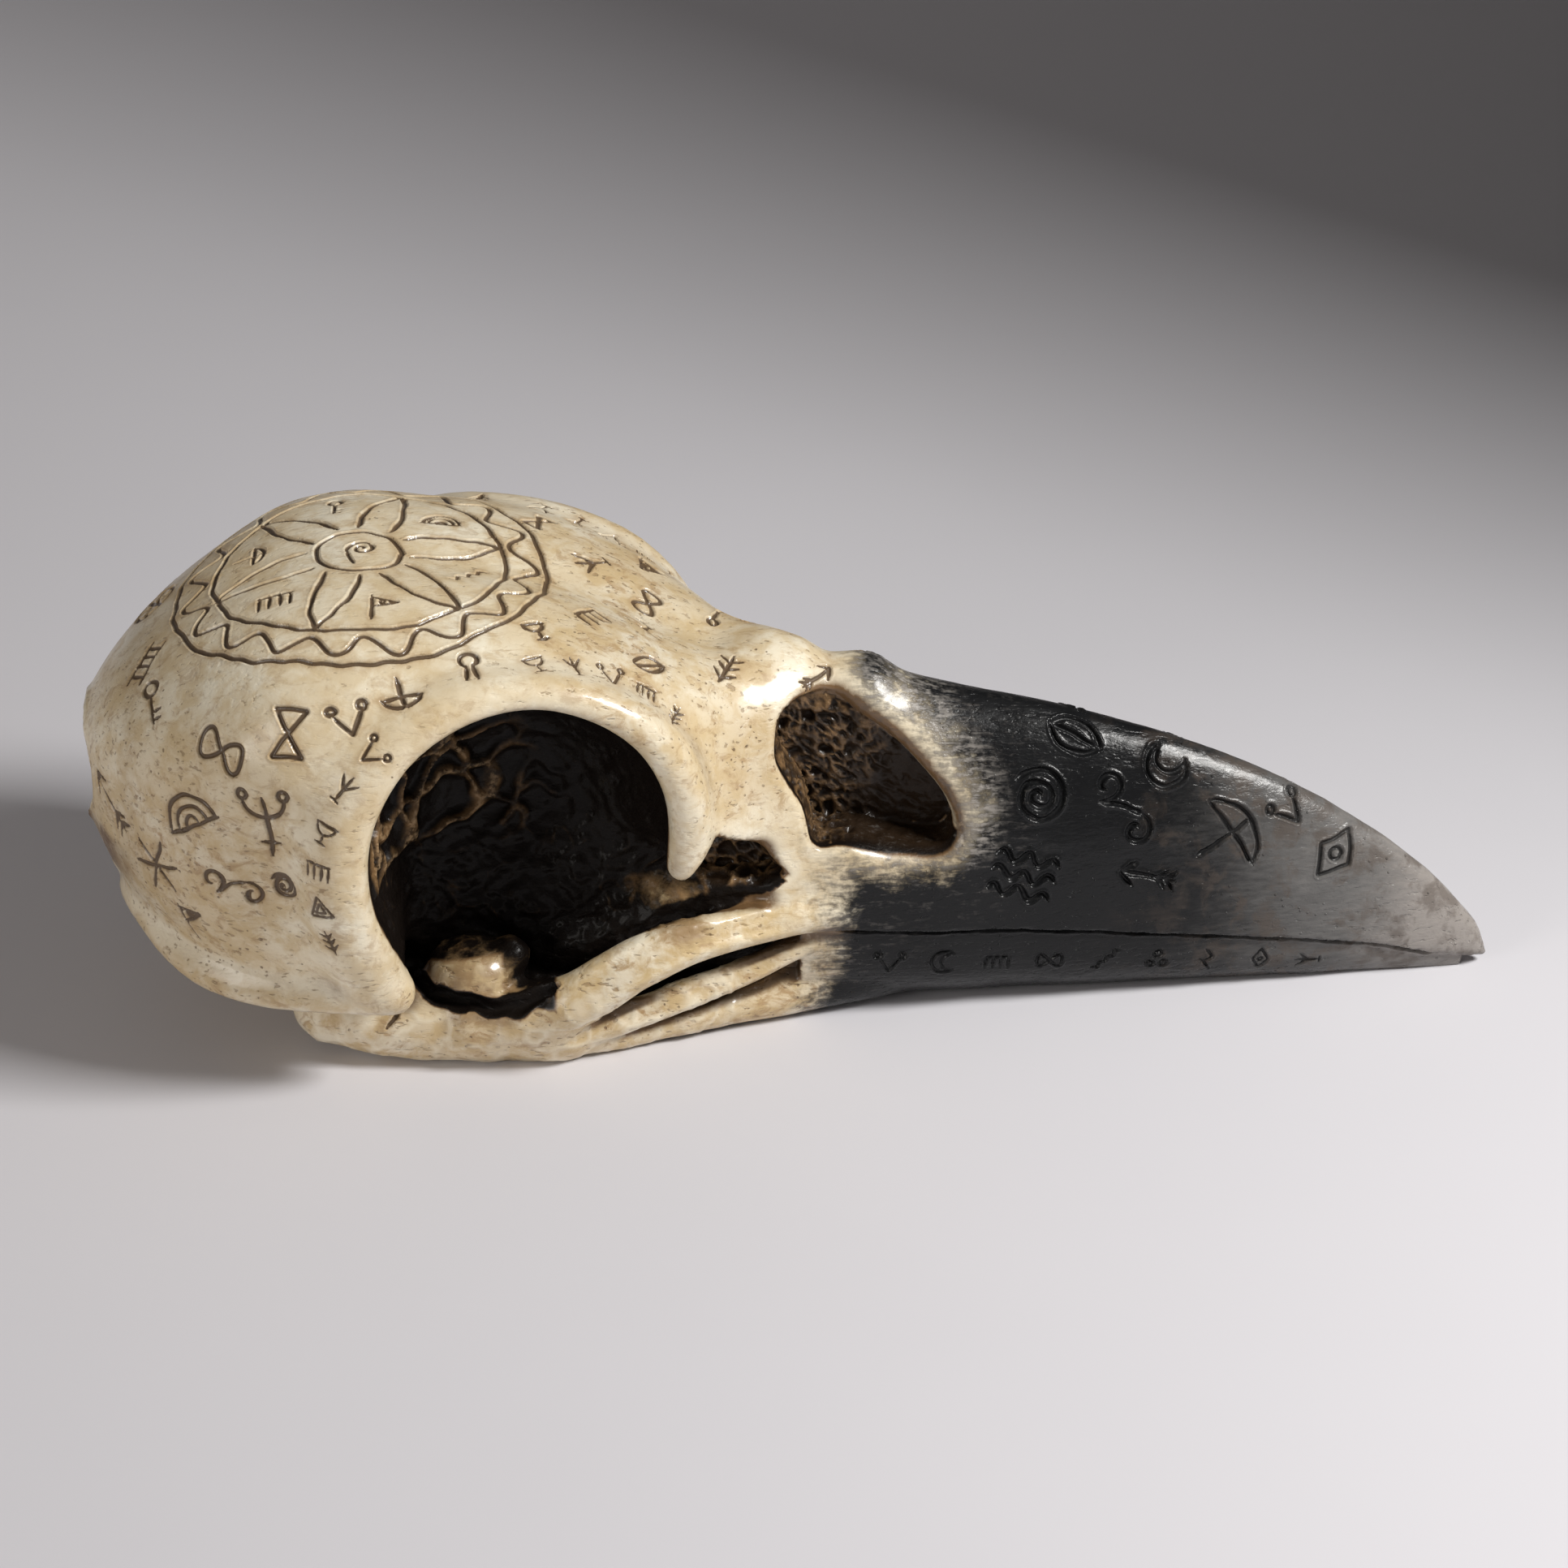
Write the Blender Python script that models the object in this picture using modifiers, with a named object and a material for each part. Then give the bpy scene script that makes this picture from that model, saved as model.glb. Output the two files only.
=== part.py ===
"""Raven skull, a solid resin casting about 211 mm long, about twice the size of a real raven's skull.

The form is one closed body described by a field of signed distances: a lofted braincase and bill, a rim round
each eye socket, the sockets, nostrils and small openings carved out of it, and rounded bars for the cheeks and
the lower jaw. The left and right sides are alike. The body is then parted by thin cuts into its anatomical pieces.

Frame: +X to the tip of the bill, +Y to the bird's left, +Z up. The skull lies on the floor at Z = 0 on its lower
jaw and lower bill. Sizes here are in millimetres and are turned into metres when the mesh is made.
"""
import bpy
import bmesh
import numpy as np

# ------------------------------------------------------------------ driving sizes, millimetres
MM = 0.001
CENTRE_X = 1.82           # distance from the middle of the length to the field's own zero
GRID = 1.5                # spacing of the sampling grid
FACES = 6300              # triangles kept for the whole body before parting
GAP = 0.3                 # clearance left between neighbouring pieces
SUNK = 0.6                # the form is drawn this much through the floor, and the floor then cuts its flats

# braincase and upper bill, each table is (x, value)
BACK_X, BACK_L = -61.5, 41.6                       # where the braincase starts to close, and over what length
BACK_WIDE, BACK_UP, BACK_DOWN = 1.85, 1.75, 3.0    # how squarely it closes in plan, above and below
HALF_WIDTH = [(-110, 39.7), (-74, 39.4), (-62, 38.4), (-52, 36.4), (-42, 33.6), (-32, 31.0), (-24, 29.0), (-18, 27.0),
              (-13, 24.6), (-8, 20.8), (-3, 18.4), (3, 17.2), (12, 16.6), (22, 15.6), (35, 13.7), (50, 11.7),
              (65, 9.5), (80, 7.1), (92, 4.9), (100, 3.4), (105, 2.3), (107.3, 1.5), (108.3, 0.2)]
TOP = [(-110, 74.4), (-80, 74.4), (-66, 73.8), (-55, 73.2), (-44, 71.8), (-32, 68.4), (-24, 65.0), (-16, 61.0),
       (-9, 58.8), (-3, 58.6), (2, 57.4), (7, 55.0), (13, 53.4), (18, 51.4), (28, 48.9), (40.5, 46.1), (53, 42.3),
       (65.4, 37.7), (78, 31.4), (90.8, 22.9), (98, 16.8), (102, 12.6), (105, 9.0), (106.8, 6.2), (107.8, 3.6), (108.2, 2.2)]
WIDE_Z = [(-110, 44.0), (-60, 43.0), (-40, 44.0), (-25, 42.0), (-14, 36.0), (-6, 27.0), (2, 20.0), (8.6, 17.8),
          (34, 15.6), (65, 11.4), (91, 6.7), (103, 3.0), (108.3, 1.7)]
DROP = [(-110, 30.5), (-60, 31.0), (-20, 30.0), (-8, 16.0), (2, 3.5), (8, 1.6), (60, 1.2), (100, 0.8), (108.3, 0.4)]
TOP_N = [(-110, 2.6), (-88, 2.6), (-72, 3.1), (-56, 3.1), (-42, 3.6), (-32, 4.2), (-22, 3.9), (-12, 2.9), (-4, 2.2),
         (6, 1.95), (30, 1.8), (70, 1.75), (100, 1.9), (108.3, 2.0)]
LOW_N = [(-110, 3.1), (-80, 3.2), (-60, 3.4), (-10, 3.0), (4, 2.5), (108.3, 2.5)]
# lower bill
MOUTH_STEP = 0.9          # the lower bill is set in from the upper one by this much
LOW_BILL_X = (2.0, 104.5)
LOW_BILL_N = 2.5
# eye socket: middle and radii, then the sharper mouth of the socket inside the rim
SOCKET, SOCKET_R = (-38.6, 33.5, 41.0), (23.4, 25.0, 25.0)
SOCKET_LIP, SOCKET_LIP_R = (-38.6, 34.5, 39.8), (22.0, 26.0, 23.6)
SIDE_WALL_Y = 13.5        # half width of the core left between the cavities under the sockets
# bars, each point is (x, y, z, radius)
RIM = [(-57.6, 31.4, 16.5, 2.2), (-60.6, 33.2, 20.0, 3.2), (-63.8, 34.8, 28, 3.9), (-65.4, 35.6, 37, 4.2), (-64.6, 36.0, 46, 4.0),
       (-61.4, 35.4, 54.0, 3.6), (-56.0, 33.8, 60.0, 3.0), (-48.5, 31.2, 63.6, 2.8), (-39.5, 28.8, 64.4, 2.6),
       (-30.8, 27.2, 62.8, 2.6), (-23.0, 26.4, 59.0, 2.6), (-17.4, 26.0, 53.0, 2.6), (-14.8, 25.9, 46.0, 2.5),
       (-14.4, 25.2, 39.5, 2.2), (-15.6, 24.6, 33.4, 1.3)]
LIP = [(-99.0, 0, 20.8, 1.4), (-97.6, 8, 20.4, 1.6), (-94.4, 15, 19.4, 2.0), (-90.4, 21.5, 18.0, 2.2), (-85, 26.4, 16.8, 2.3),
       (-77, 30.3, 16.4, 2.3), (-66, 32.4, 16.6, 2.4), (-59.5, 31.8, 16.6, 2.3)]
CHEEK = [(8, 15.0, 20.0, 2.6), (0.9, 16.8, 20.0, 3.0), (-7.3, 19.8, 19.6, 3.0), (-14, 22.6, 19.6, 3.5), (-20, 24.6, 18.2, 3.9),
         (-26, 26.0, 15.4, 3.9), (-31.5, 26.2, 11.6, 4.2), (-38, 24.6, 8.2, 5.0), (-46, 22.6, 7.0, 6.0)]
JAW_UP = [(12, 13.6, 15.4, 1.4), (4, 14.9, 14.4, 1.7), (-4, 16.9, 11.6, 2.0), (-13, 19.9, 9.2, 2.2), (-22, 22.6, 7.2, 2.3),
          (-31, 23.8, 5.6, 2.8), (-40, 23.2, 5.4, 4.0)]
JAW_LO = [(16, 8.0, 4.6, 3.4), (6, 10.4, 4.2, 3.8), (-2, 13.0, 3.7, 3.4), (-11, 16.0, 3.4, 3.0), (-19, 19.0, 2.8, 2.5),
          (-27, 21.8, 2.5, 2.3), (-35, 23.2, 3.0, 3.0), (-44, 22.6, 4.0, 4.0)]
JAW_BACK = [(-34, 22.4, 4.9, 5.3), (-46, 21.2, 6.1, 6.6), (-58, 20.8, 6.5, 6.8), (-68, 20.4, 8.0, 5.9)]
PALATE = [(-40, 11.0, 10.0, 3.0), (-30, 13.0, 14.0, 3.4), (-18, 13.5, 20.5, 3.8), (-6, 12.5, 25.0, 4.4), (2, 10.0, 26, 5.0)]
# openings in the side of the face, outlines in (x, z)
NARIS = [(-1.3, 51.0), (2.2, 52.0), (9.7, 48.6), (16.9, 42.6), (22.6, 36.3), (24.4, 31.6), (23.0, 29.0), (14.6, 30.6),
         (9.7, 31.2), (3.8, 30.6), (2.4, 37.6), (0.4, 40.6), (-2.0, 45.2)]
NARIS_WALL_Y = 5.0        # half thickness of the partition between the nostrils
WINDOW = [(-10.6, 36.8), (-6.0, 33.6), (-0.2, 27.6), (-4.0, 26.0), (-12.0, 26.0), (-16.5, 28.6)]
WINDOW_WALL_Y = 11.5
# where the body is parted, lines in (x, z) or (x, y)
HINGE = [(-10.5, 82.0), (6.0, 17.0)]
UNDER_CRANIUM = [(4.1, 25.0), (-16.0, 25.5), (-30.0, 21.0), (-52.4, 21.0), (-54.9, 13.9), (-112.0, 13.9)]
CHEEK_CUT = [(6.3, 17.0), (-4.0, 15.2), (-13.0, 13.8), (-22.0, 11.6), (-26.0, 10.1), (-31.0, 8.6), (-35.5, 10.4), (-37.6, 14.0), (-38.0, 27.0)]
BASE_LOW = [(-82, 13.5), (-19, 13.8), (-11, 12.6), (-2, 9.2), (6.4, 6.0)]
BASE_HIGH = [(-82, 13.5), (-52, 13.5), (-40, 15.0), (-30, 17.6), (-16, 18.0), (-6, 16.9), (2, 14.0), (6.4, 12.4)]
BASE_STEP_Z = 9.5

# finish
BONE, HORN, DARK = (0.72, 0.62, 0.44, 1), (0.018, 0.017, 0.018, 1), (0.20, 0.14, 0.08, 1)


# ------------------------------------------------------------------ field
def curve(x, knots):
    """Monotone cubic through (x, value) knots, level beyond the ends."""
    k = np.asarray(knots, float)
    xs, ys = k[:, 0], k[:, 1]
    h = np.diff(xs)
    s = np.diff(ys) / h
    m = np.empty_like(ys)
    m[0], m[-1] = s[0], s[-1]
    w1, w2 = 2 * h[1:] + h[:-1], h[1:] + 2 * h[:-1]
    with np.errstate(divide="ignore", invalid="ignore"):
        hm = (w1 + w2) / (w1 / s[:-1] + w2 / s[1:])
    m[1:-1] = np.where(s[:-1] * s[1:] > 0, hm, 0.0)
    x = np.clip(x, xs[0], xs[-1])
    i = np.clip(np.searchsorted(xs, x, side="right") - 1, 0, len(h) - 1)
    t = (x - xs[i]) / h[i]
    t2, t3 = t * t, t * t * t
    return ((2 * t3 - 3 * t2 + 1) * ys[i] + (t3 - 2 * t2 + t) * h[i] * m[i]
            + (-2 * t3 + 3 * t2) * ys[i + 1] + (t3 - t2) * h[i] * m[i + 1])


def smin(a, b, k):
    """Union with a fillet of about k."""
    h = np.clip(0.5 + 0.5 * (b - a) / k, 0, 1)
    return b * (1 - h) + a * h - k * h * (1 - h)


def smax(a, b, k):
    return -smin(-a, -b, k)


def step(x, a, b):
    t = np.clip((x - a) / (b - a), 0, 1)
    return t * t * (3 - 2 * t)


def ball(p, c, r, tilt=0.0):
    """Ellipsoid, tilted in degrees about Y."""
    q = p - np.asarray(c, float)
    if tilt:
        a = np.radians(tilt)
        ca, sa = np.cos(a), np.sin(a)
        q = np.stack([q[:, 0] * ca + q[:, 2] * sa, q[:, 1], -q[:, 0] * sa + q[:, 2] * ca], 1)
    r = np.asarray(r, float)
    k0 = np.linalg.norm(q / r, axis=1)
    k1 = np.linalg.norm(q / (r * r), axis=1)
    return k0 * (k0 - 1.0) / np.maximum(k1, 1e-9)


def smooth_path(pts, n):
    """n points on the smooth curve through pts."""
    P = np.asarray(pts, float)
    P = np.vstack([2 * P[0] - P[1], P, 2 * P[-1] - P[-2]])
    t = np.linspace(0, len(pts) - 1, n)
    i = np.minimum(t.astype(int), len(pts) - 2)
    t = (t - i)[:, None]
    a, b, c, d = P[i], P[i + 1], P[i + 2], P[i + 3]
    return 0.5 * (2 * b + (c - a) * t + (2 * a - 5 * b + 4 * c - d) * t * t + (3 * b - a - 3 * c + d) * t ** 3)


def bar(p, path):
    """Rounded bar along (x, y, z, radius) points."""
    best = np.full(len(p), 1e9)
    for a, b in zip(path[:-1], path[1:]):
        ab = b[:3] - a[:3]
        t = np.clip((p - a[:3]) @ ab / (ab @ ab), 0, 1)
        best = np.minimum(best, np.linalg.norm(p - a[:3] - t[:, None] * ab, axis=1) - (a[3] + (b[3] - a[3]) * t))
    return best


def block(p, c, half, r):
    """Box with rounded edges."""
    b = np.abs(p - np.asarray(c, float)) - np.asarray(half, float)
    return np.linalg.norm(np.maximum(b, 0), axis=1) + np.minimum(b.max(1), 0) - r


def outline(x, z, pts):
    """Distance to a closed outline in the XZ plane."""
    v = np.asarray(pts, float)
    d = np.full(x.shape, 1e18)
    s = np.ones(x.shape)
    for i in range(len(v)):
        j = i - 1
        ex, ez = v[j] - v[i]
        wx, wz = x - v[i, 0], z - v[i, 1]
        t = np.clip((wx * ex + wz * ez) / (ex * ex + ez * ez), 0, 1)
        d = np.minimum(d, (wx - ex * t) ** 2 + (wz - ez * t) ** 2)
        c1, c2, c3 = z >= v[i, 1], z < v[j, 1], ex * wz > ez * wx
        s = np.where((c1 & c2 & c3) | (~c1 & ~c2 & ~c3), -s, s)
    return s * np.sqrt(d)


RIM_P, LIP_P, CHEEK_P = smooth_path(RIM, 40), smooth_path(LIP, 20), smooth_path(CHEEK, 24)
JAW_UP_P, JAW_LO_P, JAW_BACK_P = smooth_path(JAW_UP, 16), smooth_path(JAW_LO, 16), smooth_path(JAW_BACK, 8)
PALATE_P = smooth_path(PALATE, 12)


def section(x, y, z):
    """1 on the surface of the lofted braincase and bill, less inside."""
    back = np.clip((BACK_X - x) / BACK_L, 0, 1)

    def close(e):
        return np.maximum(1 - back ** e, 1e-3) ** (1 / e)
    over = (np.where(x < BACK_X - BACK_L, (BACK_X - BACK_L - x) / 0.8, 0.0)
            + np.where(x > HALF_WIDTH[-1][0], (x - HALF_WIDTH[-1][0]) / 1.5, 0.0))
    w = curve(x, HALF_WIDTH) * close(BACK_WIDE)
    zw = curve(x, WIDE_Z)
    up = (curve(x, TOP) - zw) * close(BACK_UP)
    dn = curve(x, DROP) * close(BACK_DOWN)
    dz = z - zw
    h = np.where(dz > 0, up, dn)
    n = np.where(dz > 0, curve(x, TOP_N), curve(x, LOW_N))
    a = np.abs(y) / np.maximum(w, 0.05)
    b = np.abs(dz) / np.maximum(h, 0.05)
    return (a ** n + b ** n) ** (1 / n) + over


def loft(p):
    """Distance to the lofted braincase and bill."""
    x, y, z = p.T
    e = 0.3
    gx = section(x + e, y, z) - section(x - e, y, z)
    gy = section(x, y + e, z) - section(x, y - e, z)
    gz = section(x, y, z + e) - section(x, y, z - e)
    g = np.sqrt(gx * gx + gy * gy + gz * gz) / (2 * e)
    return np.clip((section(x, y, z) - 1) / np.maximum(g, 0.02), -14, 14)


def form(p):
    """Distance to the whole casting. Each feature is worked out only round its own place."""
    q = np.stack([p[:, 0], np.abs(p[:, 1]), p[:, 2]], 1)
    d = loft(q)

    def put(lo, hi, fn, m=9.0):
        i = np.nonzero(np.all((q > np.asarray(lo, float) - m) & (q < np.asarray(hi, float) + m), axis=1))[0]
        if len(i):
            d[i] = fn(q[i], d[i])

    # furrow along the middle of the forehead
    put((-66, 0, 48), (0, 20, 80), lambda s, e: e + 1.3 * np.exp(-(s[:, 1] / 6.0) ** 2) * step(s[:, 0], -66, -42)
        * (1 - step(s[:, 0], -12, -2)) * step(s[:, 2], 50, 58))
    # hollow of the temple, behind the rim of the socket
    put((-90, 30, 10), (-64, 60, 58), lambda s, e: smax(e, -ball(s, (-77, 48.5, 33), (11, 13, 22)), 8.0))
    # fullness over the hind brain
    put((-108, 0, 18), (-70, 16, 56), lambda s, e: smin(e, ball(s, (-90.5, 0, 40), (13.4, 11, 12)), 5.0))
    # lip round the lower edge of the braincase, with a hollow under it
    put((-102, 0, 12), (-56, 36, 30), lambda s, e: smin(e, bar(s, LIP_P), 4.5))
    put((-98, 0, 0), (-48, 32, 20), lambda s, e: smax(e, -ball(s, (-73, 0, 7.0), (24.5, 30.0, 12.5)), 2.0))
    # opening for the spine and the knob under it
    put((-108, 0, 18), (-90, 8, 34), lambda s, e: smin(smax(e, -ball(s, (-101.5, 0, 28.2), (6.5, 4.4, 3.9), 20), 1.2),
                                                      ball(s, (-99.4, 0, 22.4), (2.4, 2.7, 2.1)), 1.2))
    # eye socket, joined to the cavity between the cheek bar and the palate
    put((-66, 6, -2), (4, 60, 70), lambda s, e: smax(e, -smin(
        ball(s, SOCKET, SOCKET_R),
        smax(smax(SIDE_WALL_Y - s[:, 1], s[:, 2] - 33, 4.0), smax(s[:, 0] + 3.0, -57.0 - s[:, 0], 4.0), 4.0), 6.0), 3.0))
    put((-70, 20, 10), (-10, 42, 70), lambda s, e: smin(e, bar(s, RIM_P), 4.5))
    put((-62, 6, 14), (-14, 60, 66), lambda s, e: smax(e, -ball(s, SOCKET_LIP, SOCKET_LIP_R), 1.4))
    # cheek bar and the two rails of the lower jaw, gathered in its thick hind end
    put((-54, 8, 0), (12, 34, 26), lambda s, e: smin(e, bar(s, CHEEK_P), 1.6))
    put((-78, 10, -2), (-26, 32, 18), lambda s, e: smin(e, bar(s, JAW_BACK_P), 2.0))
    put((-46, 8, 0), (14, 30, 20), lambda s, e: smin(e, bar(s, JAW_UP_P), 1.2))
    put((-50, 4, -2), (20, 30, 12), lambda s, e: smin(e, bar(s, JAW_LO_P), 1.2))

    # palate, jaw joint and the web between the jaws
    def core(s, e):
        e = smin(e, block(s, (-24, 0, 12), (38, 9, 5), 3.5), 4.0)
        e = smin(e, bar(s, PALATE_P), 3.0)
        e = smin(e, smin(ball(s, (-47.0, 20.0, 13.4), (7.2, 6.5, 5.0)), ball(s, (-41.4, 20.0, 16.0), (3.0, 3.0, 3.0)), 1.5), 1.5)
        web = np.stack([np.abs(s[:, 0] + 30) - 36, s[:, 1] - curve(s[:, 0], [(-72, 18), (-30, 20), (-10, 14), (8, 8)]),
                        np.abs(s[:, 2] - 6.0) - 1.6], 1)
        return smin(e, np.linalg.norm(np.maximum(web, 0), axis=1) + np.minimum(web.max(1), 0) - 1.0, 1.5)
    put((-76, -1, 0), (22, 30, 32), core)

    # lower bill, set in under the edge of the upper one
    def lower_bill(s, e):
        zm = curve(s[:, 0], WIDE_Z) - MOUTH_STEP
        w = np.maximum(curve(s[:, 0], HALF_WIDTH) - MOUTH_STEP, 0.3)
        h = zm + SUNK
        a, b = s[:, 1] / w, np.where(s[:, 2] < zm, (zm - s[:, 2]) / h, 0)
        f = ((a ** LOW_BILL_N + b ** LOW_BILL_N) ** (1 / LOW_BILL_N) - 1) * np.minimum(w, h)
        f = np.maximum(np.maximum(f, s[:, 2] - zm - 0.2), np.maximum(LOW_BILL_X[0] - s[:, 0], s[:, 0] - LOW_BILL_X[1]))
        return smin(e, f, 0.6)
    put((2, -1, -2), (106, 18, 20), lower_bill)

    # nostril, softer along its upper front edge, and the small window before the socket
    def holes(s, e):
        k = 0.9 + 3.2 * step(s[:, 0] + (s[:, 2] - 30) * 0.35, 6, 16)
        e = smax(e, -np.maximum(outline(s[:, 0], s[:, 2], NARIS) - 0.3 * (k - 0.9), NARIS_WALL_Y - s[:, 1]), k)
        return smax(e, -np.maximum(outline(s[:, 0], s[:, 2], WINDOW), WINDOW_WALL_Y - s[:, 1]), 1.2)
    put((-18, 3, 24), (26, 26, 54), holes)
    return smax(d, -q[:, 2] - SUNK, 0.3)


def untangle(vol):
    """Fill the few grid corners where two sheets of the surface would meet at a point or along a line."""
    offs = [(i, j, k) for i in (0, 1) for j in (0, 1) for k in (0, 1)]
    links = [(a, b) for a in range(8) for b in range(a) if sum(abs(p - q) for p, q in zip(offs[a], offs[b])) == 1]
    squares = [[n for n, o in enumerate(offs) if o[a] == side] for a in range(3) for side in (0, 1)]
    bad = np.zeros(256, bool)
    for code in range(256):
        inside = [bool(code >> n & 1) for n in range(8)]
        group = list(range(8))
        for _ in range(8):
            for a, b in links:
                if inside[a] == inside[b]:
                    group[a] = group[b] = min(group[a], group[b])
        clash = any(inside[q[0]] == inside[q[3]] != inside[q[1]] == inside[q[2]] for q in squares)
        bad[code] = clash or len(set(group)) > 2
    weights = [1 << n for n in range(8)]
    for _ in range(30):
        s = vol < 0
        n = [m - 1 for m in vol.shape]
        code = sum(w * s[o[0]:o[0] + n[0], o[1]:o[1] + n[1], o[2]:o[2] + n[2]].astype(int) for w, o in zip(weights, offs))
        cells = np.argwhere(bad[code])
        if not len(cells):
            break
        corners = cells[:, None] + np.array(offs)
        values = vol[tuple(corners.reshape(-1, 3).T)].reshape(-1, 8)
        values[values < 0] = 1e9
        pick = corners[np.arange(len(cells)), values.argmin(1)]
        vol[tuple(pick.T)] = -0.05
    return vol


def surface(field, lo, hi, h):
    """Closed quads of the field's zero level, one vertex in each grid cell that the surface crosses."""
    lo = np.array(lo, float)
    n = np.ceil((np.asarray(hi, float) - lo) / h).astype(int)
    ax = [lo[i] + h * np.arange(n[i] + 1) for i in range(3)]
    P = np.stack(np.meshgrid(*ax, indexing="ij"), -1).reshape(-1, 3)
    half = P[:, 1] > -h / 4
    vol = np.zeros(len(P))
    vol[half] = np.concatenate([field(c) for c in np.array_split(P[half], 12)])
    vol = vol.reshape([m + 1 for m in n])
    mid = n[1] // 2
    vol[:, :mid] = vol[:, :mid:-1]
    vol = untangle(vol)
    s = vol < 0
    count = np.zeros(n, int)
    corners = {(i, j, k): None for i in (0, 1) for j in (0, 1) for k in (0, 1)}
    for c in corners:
        count += s[c[0]:c[0] + n[0], c[1]:c[1] + n[1], c[2]:c[2] + n[2]]
    on = (count > 0) & (count < 8)
    index = np.full(n, -1)
    cells = np.argwhere(on)
    index[on] = np.arange(len(cells))
    for c in corners:
        corners[c] = vol[tuple((cells + c).T)]
    total, hits = np.zeros((len(cells), 3)), np.zeros(len(cells))
    for c in corners:
        for a in range(3):
            if c[a] == 0:
                e = tuple(1 if t == a else c[t] for t in range(3))
                m = (corners[c] < 0) != (corners[e] < 0)
                pt = np.tile(np.array(c, float), (m.sum(), 1))
                pt[:, a] = corners[c][m] / (corners[c][m] - corners[e][m])
                total[m] += pt
                hits[m] += 1
    verts = lo + h * (cells + total / hits[:, None])
    quads = []
    for a in range(3):
        u, w = (a + 1) % 3, (a + 2) % 3
        s0, s1 = [slice(1, -1)] * 3, [slice(1, -1)] * 3
        s0[a], s1[a] = slice(0, -1), slice(1, None)
        e = np.argwhere(s[tuple(s0)] != s[tuple(s1)]) + np.array([0 if t == a else 1 for t in range(3)])

        def cell(du, dw):
            c = e.copy()
            c[:, u] += du
            c[:, w] += dw
            return index[tuple(c.T)]
        f = np.stack([cell(-1, -1), cell(0, -1), cell(0, 0), cell(-1, 0)], 1)
        flip = ~s[tuple(e.T)]
        f[flip] = f[flip][:, ::-1]
        quads.append(f)
    return verts, np.concatenate(quads)


# ------------------------------------------------------------------ mesh helpers
def material(name, colour, rough):
    m = bpy.data.materials.new(name)
    m.use_nodes = True
    b = m.node_tree.nodes["Principled BSDF"]
    b.inputs["Base Color"].default_value = colour
    b.inputs["Roughness"].default_value = rough
    m.diffuse_color = colour
    return m


def link(ob, cutter=False):
    """Finished pieces go in one collection, cutters in another, hidden from renders."""
    (CUTTERS if cutter else PIECES).objects.link(ob)
    if cutter:
        ob.hide_render = True
        ob.display_type = "WIRE"
    return ob


def to_object(name, verts, faces):
    v = (np.asarray(verts, float) - (CENTRE_X, 0, 0)) * MM
    me = bpy.data.meshes.new(name)
    me.from_pydata([tuple(p) for p in v.tolist()], [], [tuple(f) for f in np.asarray(faces).tolist()] if not isinstance(faces, list) else faces)
    me.update()
    return link(bpy.data.objects.new(name, me))


def baked(ob):
    """The object with its modifiers applied."""
    dg = bpy.context.evaluated_depsgraph_get()
    me = bpy.data.meshes.new_from_object(ob.evaluated_get(dg))
    ob.modifiers.clear()
    ob.data = me
    return ob


def ribbon(name, line, across, plane):
    """Thin closed cutter: a line in plan or elevation, swept across, GAP thick."""
    P = np.asarray(line, float)
    T = np.gradient(P, axis=0)
    T /= np.linalg.norm(T, axis=1)[:, None]
    seg = np.diff(P, axis=0)
    seg /= np.linalg.norm(seg, axis=1)[:, None]
    N = np.stack([-T[:, 1], T[:, 0]], 1)
    for i in range(1, len(P) - 1):                     # mitre, so the gap keeps its width at corners
        n0, n1 = np.array([-seg[i - 1][1], seg[i - 1][0]]), np.array([-seg[i][1], seg[i][0]])
        m = n0 + n1
        N[i] = m / (m @ n0)
    ring = np.vstack([P + N * GAP / 2, (P - N * GAP / 2)[::-1]])
    bm = bmesh.new()

    def place(u, v, a):
        c = (u, a, v) if plane == "XZ" else (u, v, a)
        return bm.verts.new(((c[0] - CENTRE_X) * MM, c[1] * MM, c[2] * MM))
    near = [place(u, v, across[0]) for u, v in ring]
    k = len(ring)
    half = k // 2
    for i in range(half - 1):                          # the line may bend, so its end face is filled strip by strip
        bm.faces.new((near[i], near[i + 1], near[k - 2 - i], near[k - 1 - i]))
    faces = list(bm.faces)
    out = bmesh.ops.extrude_face_region(bm, geom=faces)
    moved = [g for g in out["geom"] if isinstance(g, bmesh.types.BMVert)]
    shift = (across[1] - across[0]) * MM
    bmesh.ops.translate(bm, verts=moved, vec=(0, shift, 0) if plane == "XZ" else (0, 0, shift))
    bmesh.ops.recalc_face_normals(bm, faces=bm.faces)
    me = bpy.data.meshes.new(name)
    bm.to_mesh(me)
    bm.free()
    return link(bpy.data.objects.new(name, me), cutter=True)


def prism(name, line, z0, z1, grow):
    """Block between a plan line at +Y and its mirror at -Y."""
    P = np.asarray(line, float) + (0, grow)
    P = np.vstack([P + (0, 0), P[::-1] * (1, -1)])
    bm = bmesh.new()
    f = bm.faces.new([bm.verts.new(((u - CENTRE_X) * MM, v * MM, z0 * MM)) for u, v in P])
    out = bmesh.ops.extrude_face_region(bm, geom=[f])
    bmesh.ops.translate(bm, verts=[g for g in out["geom"] if isinstance(g, bmesh.types.BMVert)], vec=(0, 0, (z1 - z0) * MM))
    bmesh.ops.recalc_face_normals(bm, faces=bm.faces)
    me = bpy.data.meshes.new(name)
    bm.to_mesh(me)
    bm.free()
    return link(bpy.data.objects.new(name, me), cutter=True)


def boolean(ob, cutter, how):
    m = ob.modifiers.new("cut", "BOOLEAN")
    m.operation, m.solver, m.object = how, "EXACT", cutter
    m.use_self = False
    return baked(ob)


def copy_of(ob, name):
    return link(bpy.data.objects.new(name, ob.data.copy()), cutter=True)


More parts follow.
